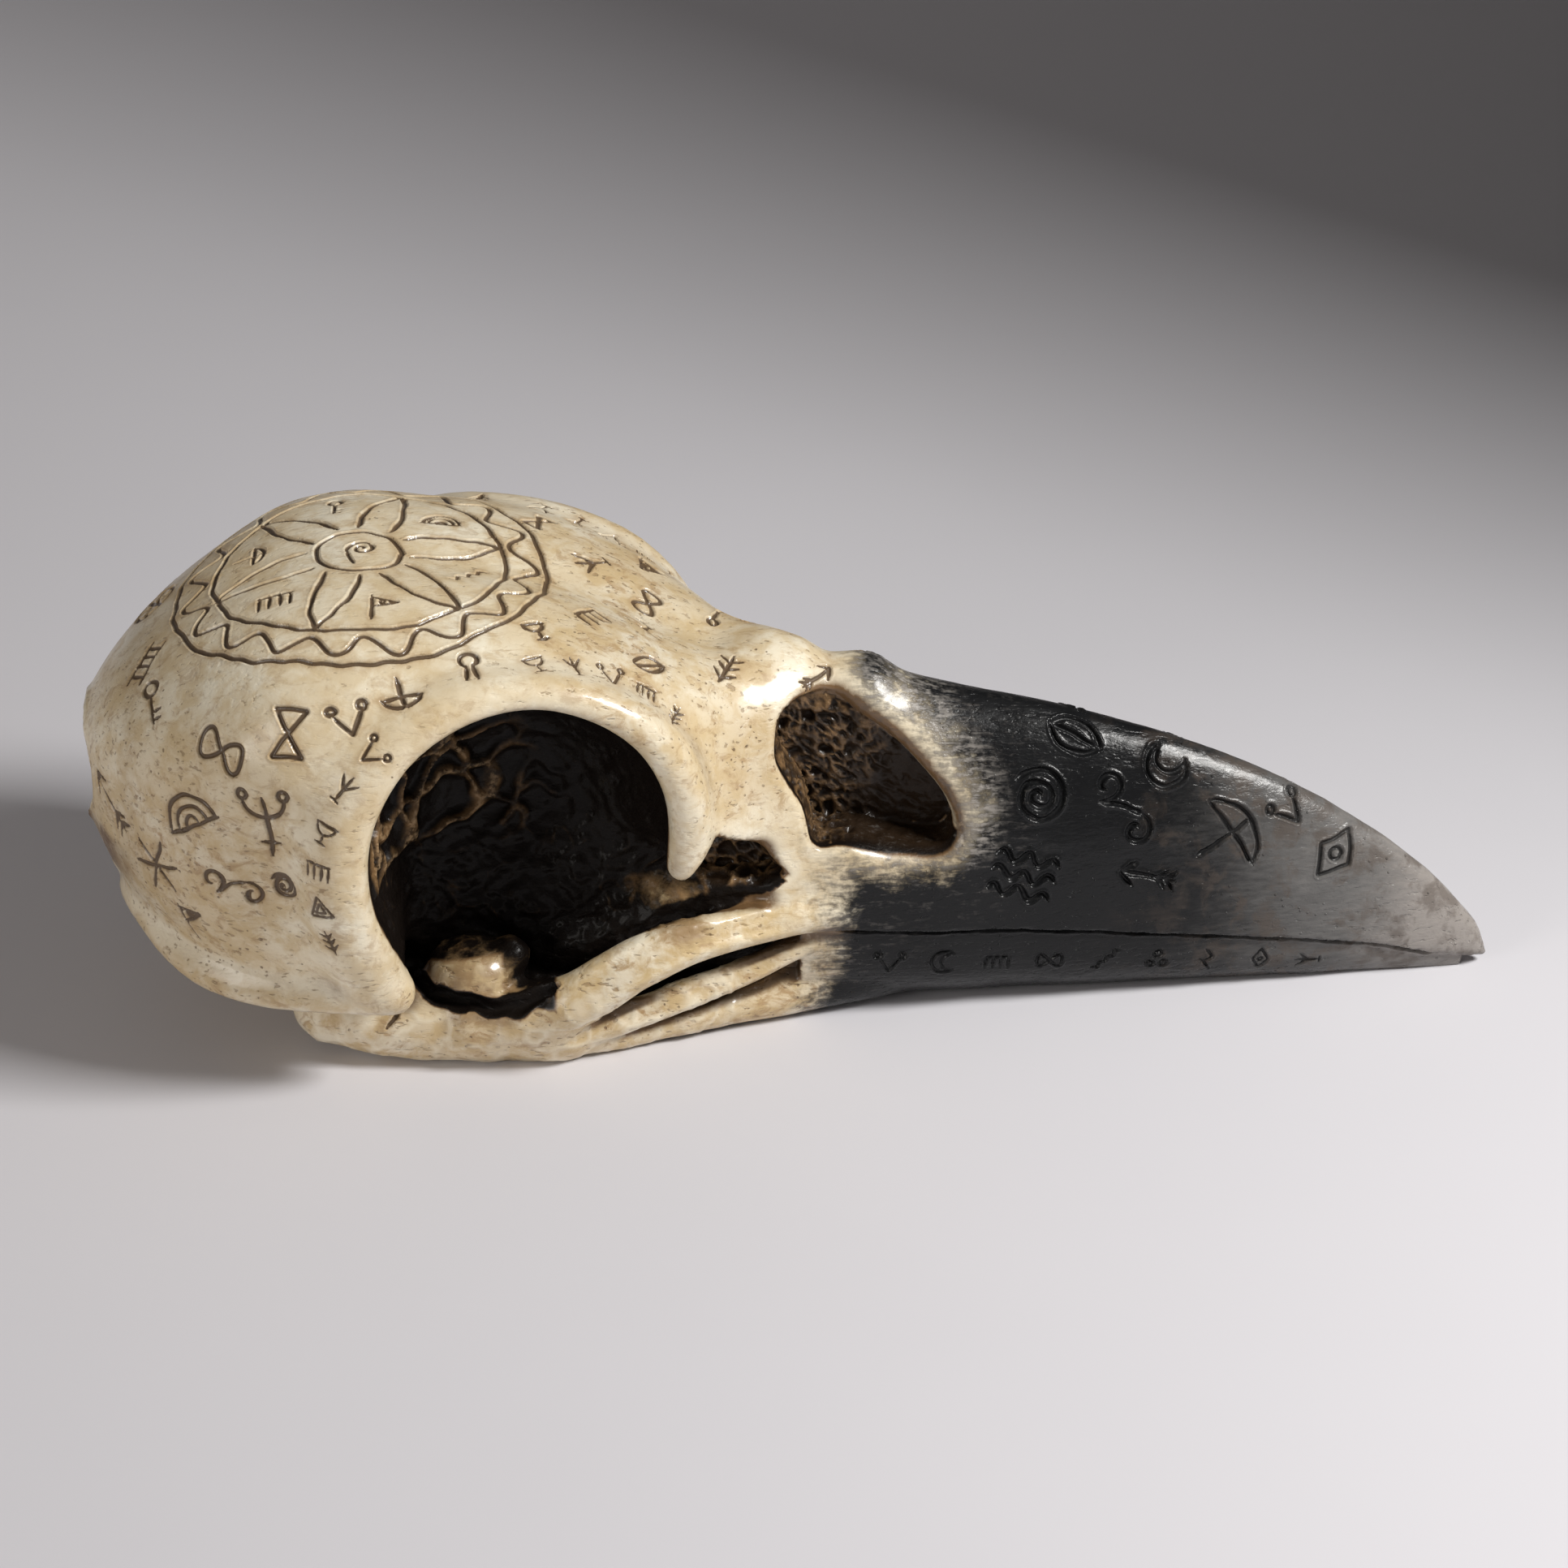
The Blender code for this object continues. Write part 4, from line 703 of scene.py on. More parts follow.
# line of the mouth between the two halves of the bill
for sgn in (-1, 1):
    xs = np.arange(7.0, 100.0, 0.12)
    zs = curve(xs, WIDE_Z) - MOUTH_STEP + 0.1
    run = []
    for x, z in zip(xs, zs):
        hit = tree.ray_cast(Vector((x, sgn * 40, z)), Vector((0, -sgn, 0)), 60)[0]
        if hit is not None:
            run.append(hit)
    lay(np.array(run), 0.50, 0.45, np.zeros(4))
    # crevice between the lump in the socket's lower corner and the jaw under it
    way = np.array([(-58.5, 17, 11.4), (-55.5, 21.4, 12.9), (-51.4, 25.2, 12.0), (-46.8, 26.9, 11.2), (-40.0, 27.4, 11.6), (-33.9, 27.0, 14.2)]) * (1, sgn, 1)
    k = np.concatenate([[0], np.cumsum(np.linalg.norm(np.diff(way, axis=0), axis=1))])
    fine_k = np.arange(0, k[-1], 0.12)
    way = np.stack([np.interp(fine_k, k, way[:, a]) for a in range(3)], 1)
    way[:, 2] += 0.5 * np.sin(fine_k / 1.9) + 0.3 * np.sin(fine_k / 0.8)
    lay(np.array([tree.find_nearest(Vector(q))[0] for q in way.tolist()]), 1.25, 1.45, np.array([0.4, 1.3, 2.0, 0.0]))
    for nick in ([(-59.4, 26, 13.6), (-58.2, 27.6, 10.6), (-59.8, 28, 7.8)],):
        way = smooth_path([(x, sgn * y, z) for x, y, z in nick], 60)
        lay(np.array([tree.find_nearest(Vector(q))[0] for q in way.tolist()]), 0.5, 0.55, np.array([1.4, 0.3, 2.6, 0.0]))

SP = np.concatenate([s[0] for s in STROKES])
SW = np.concatenate([s[1] for s in STROKES])
SD = np.concatenate([s[2] for s in STROKES])
ST = np.concatenate([unit(np.gradient(s[0], axis=0)) for s in STROKES])
print("strokes", len(STROKES), "length mm", round(0.12 * len(SP)))
kd = KDTree(len(SP))
for i, p in enumerate(SP.tolist()):
    kd.insert(p, i)
kd.balance()
CELL = 1.6
grid_lo = np.array([-115.0, -50.0, -10.0])
marked = np.zeros((150, 64, 60), bool)
ijk = ((SP - grid_lo) / CELL).astype(int)
for dx in (-1, 0, 1):
    for dy in (-1, 0, 1):
        for dz in (-1, 0, 1):
            marked[ijk[:, 0] + dx, ijk[:, 1] + dy, ijk[:, 2] + dz] = True


def stroke_distance(P):
    """Distance to the nearest stroke, its half width and its depth. Far points get 9 mm."""
    d, w, h = np.full(len(P), 9.0), np.full(len(P), 0.4), np.zeros(len(P))
    c = ((P - grid_lo) / CELL).astype(int)
    near = np.nonzero(marked[c[:, 0], c[:, 1], c[:, 2]])[0]
    if len(near) == 0:
        return d, w, h
    found = np.array([kd.find(p)[1] for p in P[near].tolist()])
    v = P[near] - SP[found]
    full = (v * v).sum(1)
    along = (v * ST[found]).sum(1)
    d[near] = np.where(np.abs(along) < 0.13, np.sqrt(np.maximum(full - along ** 2, 0)), np.sqrt(full))
    w[near], h[near] = SW[found], SD[found]
    return d, w, h


# ------------------------------------------------------------------ finer triangles where the detail is
COL = {n: i for i, n in enumerate(NAMES)}
SIZE = 0.95


def wanted(P, A, d):
    s = np.full(len(P), SIZE)
    s = np.minimum(s, FINE + 0.42 * np.maximum(d - 0.62, 0))
    rough = np.maximum.reduce([A[:, COL["socket"]] * 0.85, A[:, COL["naris"]], A[:, COL["window"]], A[:, COL["cavity"]] * 0.8])
    s = np.minimum(s, SIZE - (SIZE - 0.42) * np.clip(rough * 1.5, 0, 1))
    s = np.where((P[:, 0] > -36) & (P[:, 0] < 6) & (P[:, 2] > 4) & (P[:, 2] < 26) & (np.abs(P[:, 1]) > 13), np.minimum(s, 0.52), s)
    return s


def refine(V, N, T, A, rounds):
    D = np.stack(stroke_distance(V), 1)
    for _ in range(rounds):
        size = wanted(V, A, D[:, 0])
        n = len(V)
        E = np.sort(T[:, [0, 1, 1, 2, 2, 0]].reshape(-1, 2), axis=1)
        key, inv = np.unique(E[:, 0] * n + E[:, 1], return_inverse=True)
        inv = inv.reshape(-1, 3)
        a, b = key // n, key % n
        L = np.linalg.norm(V[a] - V[b], axis=1)
        split = L > 1.45 * np.minimum(size[a], size[b])
        if split.sum() < 50:
            break
        longest = inv[np.arange(len(T)), L[inv].argmax(1)]
        for _ in range(4):
            split[longest[split[inv].any(1)]] = True
        a, b = a[split], b[split]
        e = V[b] - V[a]
        na, nb = N[a], N[b]
        mid = (V[a] + V[b]) / 2 + ((nb * e).sum(1)[:, None] * nb - (na * e).sum(1)[:, None] * na) / 8
        nm = na + nb
        nm = unit(nm - 2 * ((nm * e).sum(1) / np.maximum((e * e).sum(1), 1e-12))[:, None] * e)
        new = np.full(len(key), -1)
        new[split] = n + np.arange(split.sum())
        V, N, A = np.vstack([V, mid]), np.vstack([N, nm]), np.vstack([A, (A[a] + A[b]) / 2])
        D = np.vstack([D, np.stack(stroke_distance(mid), 1)])
        M = new[inv]
        k = (M >= 0).sum(1)
        out = [T[k == 0]]
        one = k == 1
        t, m = T[one], M[one]
        r = (m >= 0).argmax(1)
        i = np.arange(len(t))
        p0, p1, p2, q = t[i, r], t[i, (r + 1) % 3], t[i, (r + 2) % 3], m[i, r]
        out += [np.stack([p0, q, p2], 1), np.stack([q, p1, p2], 1)]
        two = k == 2
        t, m = T[two], M[two]
        r = ((m < 0).argmax(1) + 1) % 3
        i = np.arange(len(t))
        p0, p1, p2 = t[i, r], t[i, (r + 1) % 3], t[i, (r + 2) % 3]
        q0, q1 = m[i, r], m[i, (r + 1) % 3]
        out.append(np.stack([q0, p1, q1], 1))
        flat = (np.linalg.norm(V[p0] - V[q1], axis=1) < np.linalg.norm(V[q0] - V[p2], axis=1))
        out += [np.stack([p0, q0, q1], 1)[flat], np.stack([p0, q1, p2], 1)[flat], np.stack([p0, q0, p2], 1)[~flat], np.stack([q0, q1, p2], 1)[~flat]]
        three = k == 3
        t, m = T[three], M[three]
        out += [np.stack([t[:, 0], m[:, 0], m[:, 2]], 1), np.stack([m[:, 0], t[:, 1], m[:, 1]], 1), np.stack([m[:, 2], m[:, 1], t[:, 2]], 1), m]
        T = np.vstack(out)
    return V, N, T, A, D


V, N, T, A, D = refine(V, N, T, A, 4)
print("vertices", len(V), "triangles", len(T))

# ------------------------------------------------------------------ carving, texture and wear
def noise_at(P, scale, seed=0.0, octaves=1):
    """Smooth noise about -1 to 1, scale in millimetres."""
    Q = (P / scale + seed).tolist()
    if octaves == 1:
        return np.array([noise.noise(q, noise_basis="PERLIN_NEW") for q in Q])
    return np.array([noise.fractal(q, 0.9, 2.0, octaves, noise_basis="PERLIN_NEW") for q in Q])


def cells(P, scale, seed=0.0):
    """First and second distance to scattered points, in cell units."""
    Q = (P / scale + seed).tolist()
    return np.array([noise.voronoi(q)[0][:2] for q in Q])


get = {n: A[:, i].copy() for n, i in COL.items()}
d, w, h = D.T
cut = np.clip(1 - (d / w) ** 2, 0, 1)
groove = np.clip(1.15 - (d / w) ** 2, 0, 1)
burr = np.exp(-((d - w * 1.28) / (0.34 * w)) ** 2)
lift = -h * cut ** 0.75 + (0.16 + 0.20 * step(get["paint"], 2, 6)) * h * burr
crevice = (h > 0.9) * (1 - step(d / w, 0.95, 1.7))
get["hollow"] = np.maximum(get["hollow"], crevice)
get["lump"] *= 1 - crevice
wave_big = noise_at(V, 9.0, 3.1)
lift += 0.16 * wave_big * (1 - get["hollow"])

# cell-like ridges in the sockets, coarser at the back, and spongy bone in the nostrils and the windows before the sockets
ridge = np.zeros(len(V))
m = np.nonzero((get["socket"] + get["cavity"] + get["window"] > 0.02))[0]
P = V[m]
warp = np.stack([noise_at(P, 5.5, 7.0), noise_at(P, 5.5, 17.0), noise_at(P, 5.5, 27.0)], 1)
back = 1 - step(P[:, 0] + 0.3 * (P[:, 2] - 40), -50, -27)
low_part = 1 - step(P[:, 2], 26, 34)
F = cells(P + 3.0 * warp, 8.0, 2.0)
web = np.exp(-((F[:, 1] - F[:, 0]) / 0.19) ** 2)
F = cells(P + 1.2 * warp, 3.0, 5.0)
web2 = np.exp(-((F[:, 1] - F[:, 0]) / 0.22) ** 2)
worm = 1 - np.clip(np.abs(noise_at(P + 0.6 * warp, 3.4, 31.0)) * 3.2, 0, 1)
roughness = noise_at(P, 2.2, 51.0, 3)
strong = np.clip(get["socket"][m] * (0.12 + 0.88 * back) * (1 - get["cavity"][m]), 0, 1)
fine = np.clip(get["window"][m], 0, 1)
r = np.clip(web * strong + 0.12 * worm * get["socket"][m] + web2 * fine + 0.35 * worm * get["cavity"][m] + 0.75 * get["lump"][m] * (0.7 + 0.6 * roughness), 0, 1)
amount = np.maximum.reduce([get["socket"][m], get["window"][m], get["cavity"][m] * 0.8])
calm = np.clip(get["socket"][m] * (1 - fine) * (1 - get["cavity"][m]), 0, 1)
lift[m] += amount * (1.35 * web * strong + 0.75 * web2 * fine + (0.30 - 0.20 * calm) * worm * (1 - strong) + (0.40 - 0.26 * calm) * roughness - 0.35)
ridge[m] = r
# tiny holes in the dark paint
pin = np.clip(1 - cells(P, 2.1, 71.0)[:, 0] / 0.17, 0, 1)
lift[m] -= 0.5 * np.maximum(amount, np.clip(get["lump"][m] * 1.4, 0, 1)) * pin
m = np.nonzero(get["naris"] > 0.02)[0]
P = V[m]
warp = np.stack([noise_at(P, 2.6, 7.0), noise_at(P, 2.6, 17.0), noise_at(P, 2.6, 27.0)], 1)
left = 1 - step(P[:, 0] - 0.55 * (P[:, 2] - 40), 9, 21)
coil = 1 - np.clip(np.abs(noise_at(P + 0.9 * warp, 2.1, 61.0)) * 2.6, 0, 1)
F = cells(P + 0.7 * warp, 2.3, 9.0)
mesh2 = np.exp(-((F[:, 1] - F[:, 0]) / 0.24) ** 2)
r = np.clip(np.maximum(coil, mesh2 * 0.9), 0, 1)
lift[m] += get["naris"][m] * ((0.25 + 0.75 * left) * (1.3 * r - 0.6) + 0.2 * noise_at(P, 1.6, 81.0, 2))
ridge[m] = np.maximum(ridge[m], r * (0.25 + 0.75 * left))

# rear of the lower jaw: faint raised veins, and flat facets along the bars
m = np.nonzero((V[:, 0] < -8) & (V[:, 2] < 20) & (get["hollow"] < 0.4) & (np.abs(V[:, 1]) > 12))[0]
P = V[m]
jaw = 1 - step(P[:, 2], 11, 17)
F = cells(P * np.array([0.7, 1, 1]) + 1.6 * np.stack([noise_at(P, 4.0, 5.0), noise_at(P, 4.0, 15.0), noise_at(P, 4.0, 25.0)], 1), 5.2, 4.0)
vein = np.zeros(len(V))
vein[m] = jaw * np.exp(-((F[:, 1] - F[:, 0]) / 0.11) ** 2)
lift[m] += 0.16 * vein[m] + 0.28 * jaw * noise_at(P, 4.6, 44.0)
# the bars of cheek and jaw have planed faces between soft edges
facing = N[:, 1] * np.sign(V[:, 1]) * 0.88 + N[:, 2] * 0.47
planed = step(facing, 0.72, 0.92) * step(V[:, 0], -33, -27) * (1 - step(V[:, 0], -3, 2)) * step(V[:, 2], 5, 8) * (1 - step(V[:, 2], 22, 25)) * (1 - get["hollow"]) * step(np.abs(V[:, 1]), 13, 16)
lift -= 0.62 * planed * (1 + 0.4 * wave_big)
# the knob over the nostrils, with a step behind it
lift += step(V[:, 2], 45, 49) * np.exp(-(V[:, 1] / 5.5) ** 2) * (1.35 * np.exp(-((V[:, 0] - 12.6) / 4.2) ** 2) - 0.4 * np.exp(-((V[:, 0] - 6.0) / 2.2) ** 2))
# grain running along the bill
m = np.nonzero(get["paint"] > -3)[0]
P = V[m]
lift[m] += 0.05 * noise_at(P * np.array([0.22, 1, 1]), 1.5, 12.0) * np.clip((get["paint"][m] + 3) / 6, 0, 1)

V = V + N * lift[:, None]
# the back of the cranium fuller round its middle
far = np.sqrt((V[:, 1] / 1.25) ** 2 + (V[:, 2] - 40.5) ** 2)
fuller = step(far, 6.5, 9.0) * (1 - step(far, 9.0, 25.0)) * (1 - step(V[:, 0], -94, -88)) * (1 - (1 - step(np.abs(V[:, 1]), 5, 8)) * (1 - step(V[:, 2], 31, 34)))
V[:, 0] -= 1.5 * fuller - 1.0 * (1 - step(far, 5.0, 9.5)) * (1 - step(V[:, 0], -101, -98))
tri = np.cross(V[T[:, 1]] - V[T[:, 0]], V[T[:, 2]] - V[T[:, 0]])
N2 = np.zeros_like(V)
for i in range(3):
    for a in range(3):
        N2[:, a] += np.bincount(T[:, i], tri[:, a], len(V))
N2 = unit(N2)

# this mask: real stains on the forehead, round the nostrils, on the planed bar faces and the lumps, and painted shade
# over the back of the braincase and towards the bottom
where = {"stain": np.clip(0.22 + 0.55 * np.exp(-(((V[:, 0] + 24) / 17) ** 2 + ((V[:, 2] - 64) / 12) ** 2))
                          + 0.80 * np.exp(-(((V[:, 0] + 88) / 20) ** 2 + ((V[:, 2] - 34) / 26) ** 2)) + 0.35 * planed + 0.8 * get["lump"]
                          + 0.65 * np.exp(-(((V[:, 0] + 4) / 9) ** 2 + ((V[:, 2] - 47) / 12) ** 2))
                          + 0.55 * np.clip((20 - V[:, 2]) / 9, 0, 1), 0, 1)}
POINT = {"groove": groove * (h > 0), "halo": np.exp(-(np.maximum(d - w, 0) / 0.7) ** 2) * (h > 0), "ridge": ridge, "vein": vein, "hollow": get["hollow"],
         "occ1": get["occ1"], "occ3": get["occ3"], "occ7": get["occ7"], "paint": get["paint"], "stain": where["stain"],
         "sponge": np.clip(get["naris"] + get["window"], 0, 1), "convex": get["convex"], "lump": get["lump"]}

# inside the frame's own box
LOW_C, HIGH_C = np.array(CAD_BOX) / MM + np.array([CENTRE_X, 0, 0])
V[:, 0] = np.clip(V[:, 0], LOW_C[0] + 0.01, HIGH_C[0] - 0.01)
V[:, 1] = np.clip(V[:, 1], LOW_C[1] + 0.01, HIGH_C[1] - 0.01)
V[:, 2] = np.minimum(V[:, 2], HIGH_C[2] - 0.01)

# ------------------------------------------------------------------ parting into the frame's nodes
SLIT = 0.001              # millimetres, too thin to see


def row(p):
    return (np.asarray(p, float) - (CENTRE_X, 0, 0)) * MM


def mesh_from(name, verts, tris):
    me = bpy.data.meshes.new(name)
    me.vertices.add(len(verts))
    me.vertices.foreach_set("co", np.asarray(verts, np.float32).ravel())
    me.loops.add(3 * len(tris))
    me.loops.foreach_set("vertex_index", np.asarray(tris, np.int32).ravel())
    me.polygons.add(len(tris))
    me.polygons.foreach_set("loop_start", np.arange(0, 3 * len(tris), 3, dtype=np.int32))
    me.update(calc_edges=True)
    return me


SURFACE, FILL = bpy.data.materials.new("surface_tmp"), bpy.data.materials.new("fill_tmp")
body = bpy.data.objects.new("whole", mesh_from("whole", row(V), T))
bpy.context.scene.collection.objects.link(body)
body.data.materials.append(SURFACE)
for n, values in POINT.items():
    body.data.attributes.new(n, "FLOAT", "POINT").data.foreach_set("value", values.astype(np.float32))
body.data.attributes.new("nrm", "FLOAT_VECTOR", "POINT").data.foreach_set("vector", N2.astype(np.float32).ravel())


def extruded(name, poly, a0, a1, plane):
    """Closed prism of an outline; long thin outlines are filled strip by strip."""
    ring = [((u, a0, v) if plane == "XZ" else (u, v, a0)) for u, v in poly]
    far = [((u, a1, v) if plane == "XZ" else (u, v, a1)) for u, v in poly]
    k = len(poly)
    tris = []
    for i in range(k // 2 - 1):
        q = (i, i + 1, k - 2 - i, k - 1 - i)
        tris += [(q[0], q[1], q[2]), (q[0], q[2], q[3])]
    if k % 2:
        i = k // 2 - 1
        tris.append((i, i + 1, k - 1 - i))
    tris += [(c + k, b + k, a + k) for a, b, c in tris]
    for i in range(k):
        j = (i + 1) % k
        tris += [(j, i, i + k), (j, i + k, j + k)]
    me = mesh_from(name, row(ring + far), tris)
    bm = bmesh.new()
    bm.from_mesh(me)
    bmesh.ops.recalc_face_normals(bm, faces=bm.faces)
    bm.to_mesh(me)
    bm.free()
    me.materials.append(FILL)
    ob = bpy.data.objects.new(name, me)
    bpy.context.scene.collection.objects.link(ob)
    return ob


def slit(name, path, a0, a1, plane):
    P = np.asarray(path, float)
    seg = unit(np.diff(P, axis=0))
    nrm = np.stack([-seg[:, 1], seg[:, 0]], 1)
    K = np.vstack([nrm[:1], nrm[:-1] + nrm[1:], nrm[-1:]])
    K[1:-1] /= (K[1:-1] * nrm[1:]).sum(1)[:, None]
    return extruded(name, np.vstack([P + K * SLIT / 2, (P - K * SLIT / 2)[::-1]]), a0, a1, plane)


def carved(ob, cutter, how="DIFFERENCE", drop=True):
    m = ob.modifiers.new("cut", "BOOLEAN")
    m.operation, m.solver, m.object = how, "MANIFOLD", cutter
    m.material_mode = "TRANSFER"
    me = bpy.data.meshes.new_from_object(ob.evaluated_get(bpy.context.evaluated_depsgraph_get()))
    ob.modifiers.clear()
    ob.data = me
    if drop:
        bpy.data.objects.remove(cutter, do_unlink=True)
    return ob


def twin(ob, name):
    t = bpy.data.objects.new(name, ob.data.copy())
    bpy.context.scene.collection.objects.link(t)
    return t


def parts(ob, names, test):
    """The connected bodies of a mesh, each given to the name that test picks from its middle."""
    me = ob.data
    co = np.empty(3 * len(me.vertices), np.float32)
    me.vertices.foreach_get("co", co)
    co = co.reshape(-1, 3) / MM + (CENTRE_X, 0, 0)
    ed = np.empty(2 * len(me.edges), np.int32)
    me.edges.foreach_get("vertices", ed)
    lab = islands(len(co), ed.reshape(-1, 2))
    ids, lab = np.unique(lab, return_inverse=True)
    size = np.bincount(lab)
    mid = np.stack([np.bincount(lab, co[:, a]) / size for a in range(3)], 1)
    pick = np.array([names.index(test(*m)) for m in mid])[lab]
    out = {}
    for i, n in enumerate(names):
        bm = bmesh.new()
        bm.from_mesh(me)
        bm.verts.ensure_lookup_table()
        bmesh.ops.delete(bm, geom=[bm.verts[j] for j in np.nonzero(pick != i)[0]], context="VERTS")
        new = me.copy()
        bm.to_mesh(new)
        bm.free()
        out[n] = bpy.data.objects.new(n, new)
        bpy.context.scene.collection.objects.link(out[n])
    bpy.data.objects.remove(ob, do_unlink=True)
    return out


carved(body, extruded("floor_cut", [(-130, -60), (130, -60), (130, 60), (-130, 60)], -6, 0, "XY"))
mouth = [(x, float(curve(np.array([float(x)]), WIDE_Z)[0]) - MOUTH_STEP + 0.1) for x in (12, 22, 34, 46, 58, 70, 82, 92, 99, 104, 112)]
carved(body, slit("c1", HINGE + mouth, -50, 50, "XZ"))
carved(body, slit("c2", [(6.0, 17.2), (6.0, -4.0)], -50, 50, "XZ"))
carved(body, slit("c3", UNDER_CRANIUM, -50, 50, "XZ"))


def hinge_x(z):
    return -10.5 + (82.0 - z) / 65.0 * 16.5


def first_cut(x, y, z):
    if z > 17 and x > hinge_x(z) or x > 6 and z > curve(np.array([x]), WIDE_Z)[0] - MOUTH_STEP + 0.1:
        return "upper_beak"
    if x > 6:
        return "lower_beak"
    return "cranium" if z > np.interp(x, [-112, -54.9, -52.4, -30, -16, 4.1], [13.9, 13.9, 21, 21, 25.5, 25]) else "under"


made = parts(body, ["cranium", "upper_beak", "lower_beak", "under"], first_cut)
under = made.pop("under")


def core(name):
    """Plan outlines of the base, wider above a step."""
    ring = np.vstack([np.array(BASE_LOW), np.array(BASE_LOW)[::-1] * (1, -1)])
    a = extruded(name, ring, -4, BASE_STEP_Z, "XY")
    ring = np.vstack([np.array(BASE_HIGH), np.array(BASE_HIGH)[::-1] * (1, -1)])
    return carved(a, extruded(name + "_high", ring, BASE_STEP_Z - 0.01, 31, "XY"), "UNION")


made["skull_base"] = carved(twin(under, "skull_base"), core("core_a"), "INTERSECT")
carved(under, core("core_b"))
carved(under, slit("c4", CHEEK_CUT, -50, -3, "XZ"))
carved(under, slit("c5", CHEEK_CUT, 3, 50, "XZ"))
cheek_x = [p[0] for p in CHEEK_CUT][::-1]
cheek_z = [p[1] for p in CHEEK_CUT][::-1]


def second_cut(x, y, z):
    side = "_right" if y < 0 else "_left"
    return ("cheek_bar" if x > -38.0 and z > np.interp(x, cheek_x, cheek_z) else "jaw") + side


made.update(parts(under, ["jaw_right", "jaw_left", "cheek_bar_right", "cheek_bar_left"], second_cut))


# ------------------------------------------------------------------ paint, all of it procedural
class Nodes:
    """Short names for the few node kinds used below."""

    def __init__(self, name):
        self.mat = bpy.data.materials.new(name)
        self.mat.use_nodes = True
        self.tree = self.mat.node_tree
        self.tree.nodes.clear()
        self.where = self.node("ShaderNodeTexCoord").outputs["Object"]

    def node(self, kind, **props):
        n = self.tree.nodes.new(kind)
        for k, v in props.items():
            setattr(n, k, v)
        return n

    def put(self, socket, value):
        if isinstance(value, bpy.types.NodeSocket):
            self.tree.links.new(value, socket)
        else:
            socket.default_value = value

    def attr(self, name):
        return self.node("ShaderNodeAttribute", attribute_name=name, attribute_type="GEOMETRY").outputs["Fac"]

    def calc(self, op, a, b=0.0, clamp=False):
        n = self.node("ShaderNodeMath", operation=op, use_clamp=clamp)
        self.put(n.inputs[0], a)
        self.put(n.inputs[1], b)
        return n.outputs[0]

    def mul(self, a, b):
        return self.calc("MULTIPLY", a, b)

    def add(self, a, b):
        return self.calc("ADD", a, b)

    def span(self, v, a, b, lo=0.0, hi=1.0):
        """Smooth step of v from a to b."""
        n = self.node("ShaderNodeMapRange", interpolation_type="SMOOTHSTEP", clamp=True)
        for s, x in zip(n.inputs[:5], (v, a, b, lo, hi)):
            self.put(s, x)
        return n.outputs[0]

    def mix(self, fac, a, b):
        n = self.node("ShaderNodeMix", data_type="RGBA", clamp_factor=True)
        self.put(n.inputs[0], fac)
        self.put(n.inputs[6], a)
        self.put(n.inputs[7], b)
        return n.outputs[2]

    def noise(self, size, detail=2.0, rough=0.5, warp=0.0, stretch=(1, 1, 1), shift=0.0):
        """Noise with features of about size millimetres."""
        m = self.node("ShaderNodeMapping")
        self.put(m.inputs["Vector"], self.where)
        m.inputs["Location"].default_value = (shift, shift * 0.7, -shift)
        m.inputs["Scale"].default_value = [1000.0 / size / s for s in stretch]
        n = self.node("ShaderNodeTexNoise")
        self.put(n.inputs["Vector"], m.outputs[0])
        for k, v in (("Scale", 1.0), ("Detail", detail), ("Roughness", rough), ("Distortion", warp)):
            n.inputs[k].default_value = v
        return n.outputs["Fac"]

    def cells(self, size, shift=0.0, feature="F1", stretch=(1, 1, 1)):
        m = self.node("ShaderNodeMapping")
        self.put(m.inputs["Vector"], self.where)
        m.inputs["Location"].default_value = (shift, shift * 1.3, shift * 0.4)
        m.inputs["Scale"].default_value = [1000.0 / size / s for s in stretch]
        n = self.node("ShaderNodeTexVoronoi", feature=feature)
        self.put(n.inputs["Vector"], m.outputs[0])
        n.inputs["Scale"].default_value = 1.0
        return n.outputs["Distance"]

    def bump(self, height, depth, normal=None):
        n = self.node("ShaderNodeBump")
        n.inputs["Strength"].default_value = 1.0
        n.inputs["Distance"].default_value = depth
        self.put(n.inputs["Height"], height)
        if normal is not None:
            self.put(n.inputs["Normal"], normal)
        return n.outputs[0]


IVORY, CREAM, OCHRE = (0.76, 0.635, 0.43, 1), (0.88, 0.805, 0.635, 1), (0.62, 0.46, 0.235, 1)
TAN, BROWN, UMBER = (0.42, 0.275, 0.135, 1), (0.185, 0.105, 0.045, 1), (0.060, 0.032, 0.014, 1)
PITCH, SOOT, STEEL, PEWTER = (0.0075, 0.0052, 0.0040, 1), (0.0085, 0.0088, 0.0095, 1), (0.16, 0.155, 0.15, 1), (0.33, 0.30, 0.275, 1)


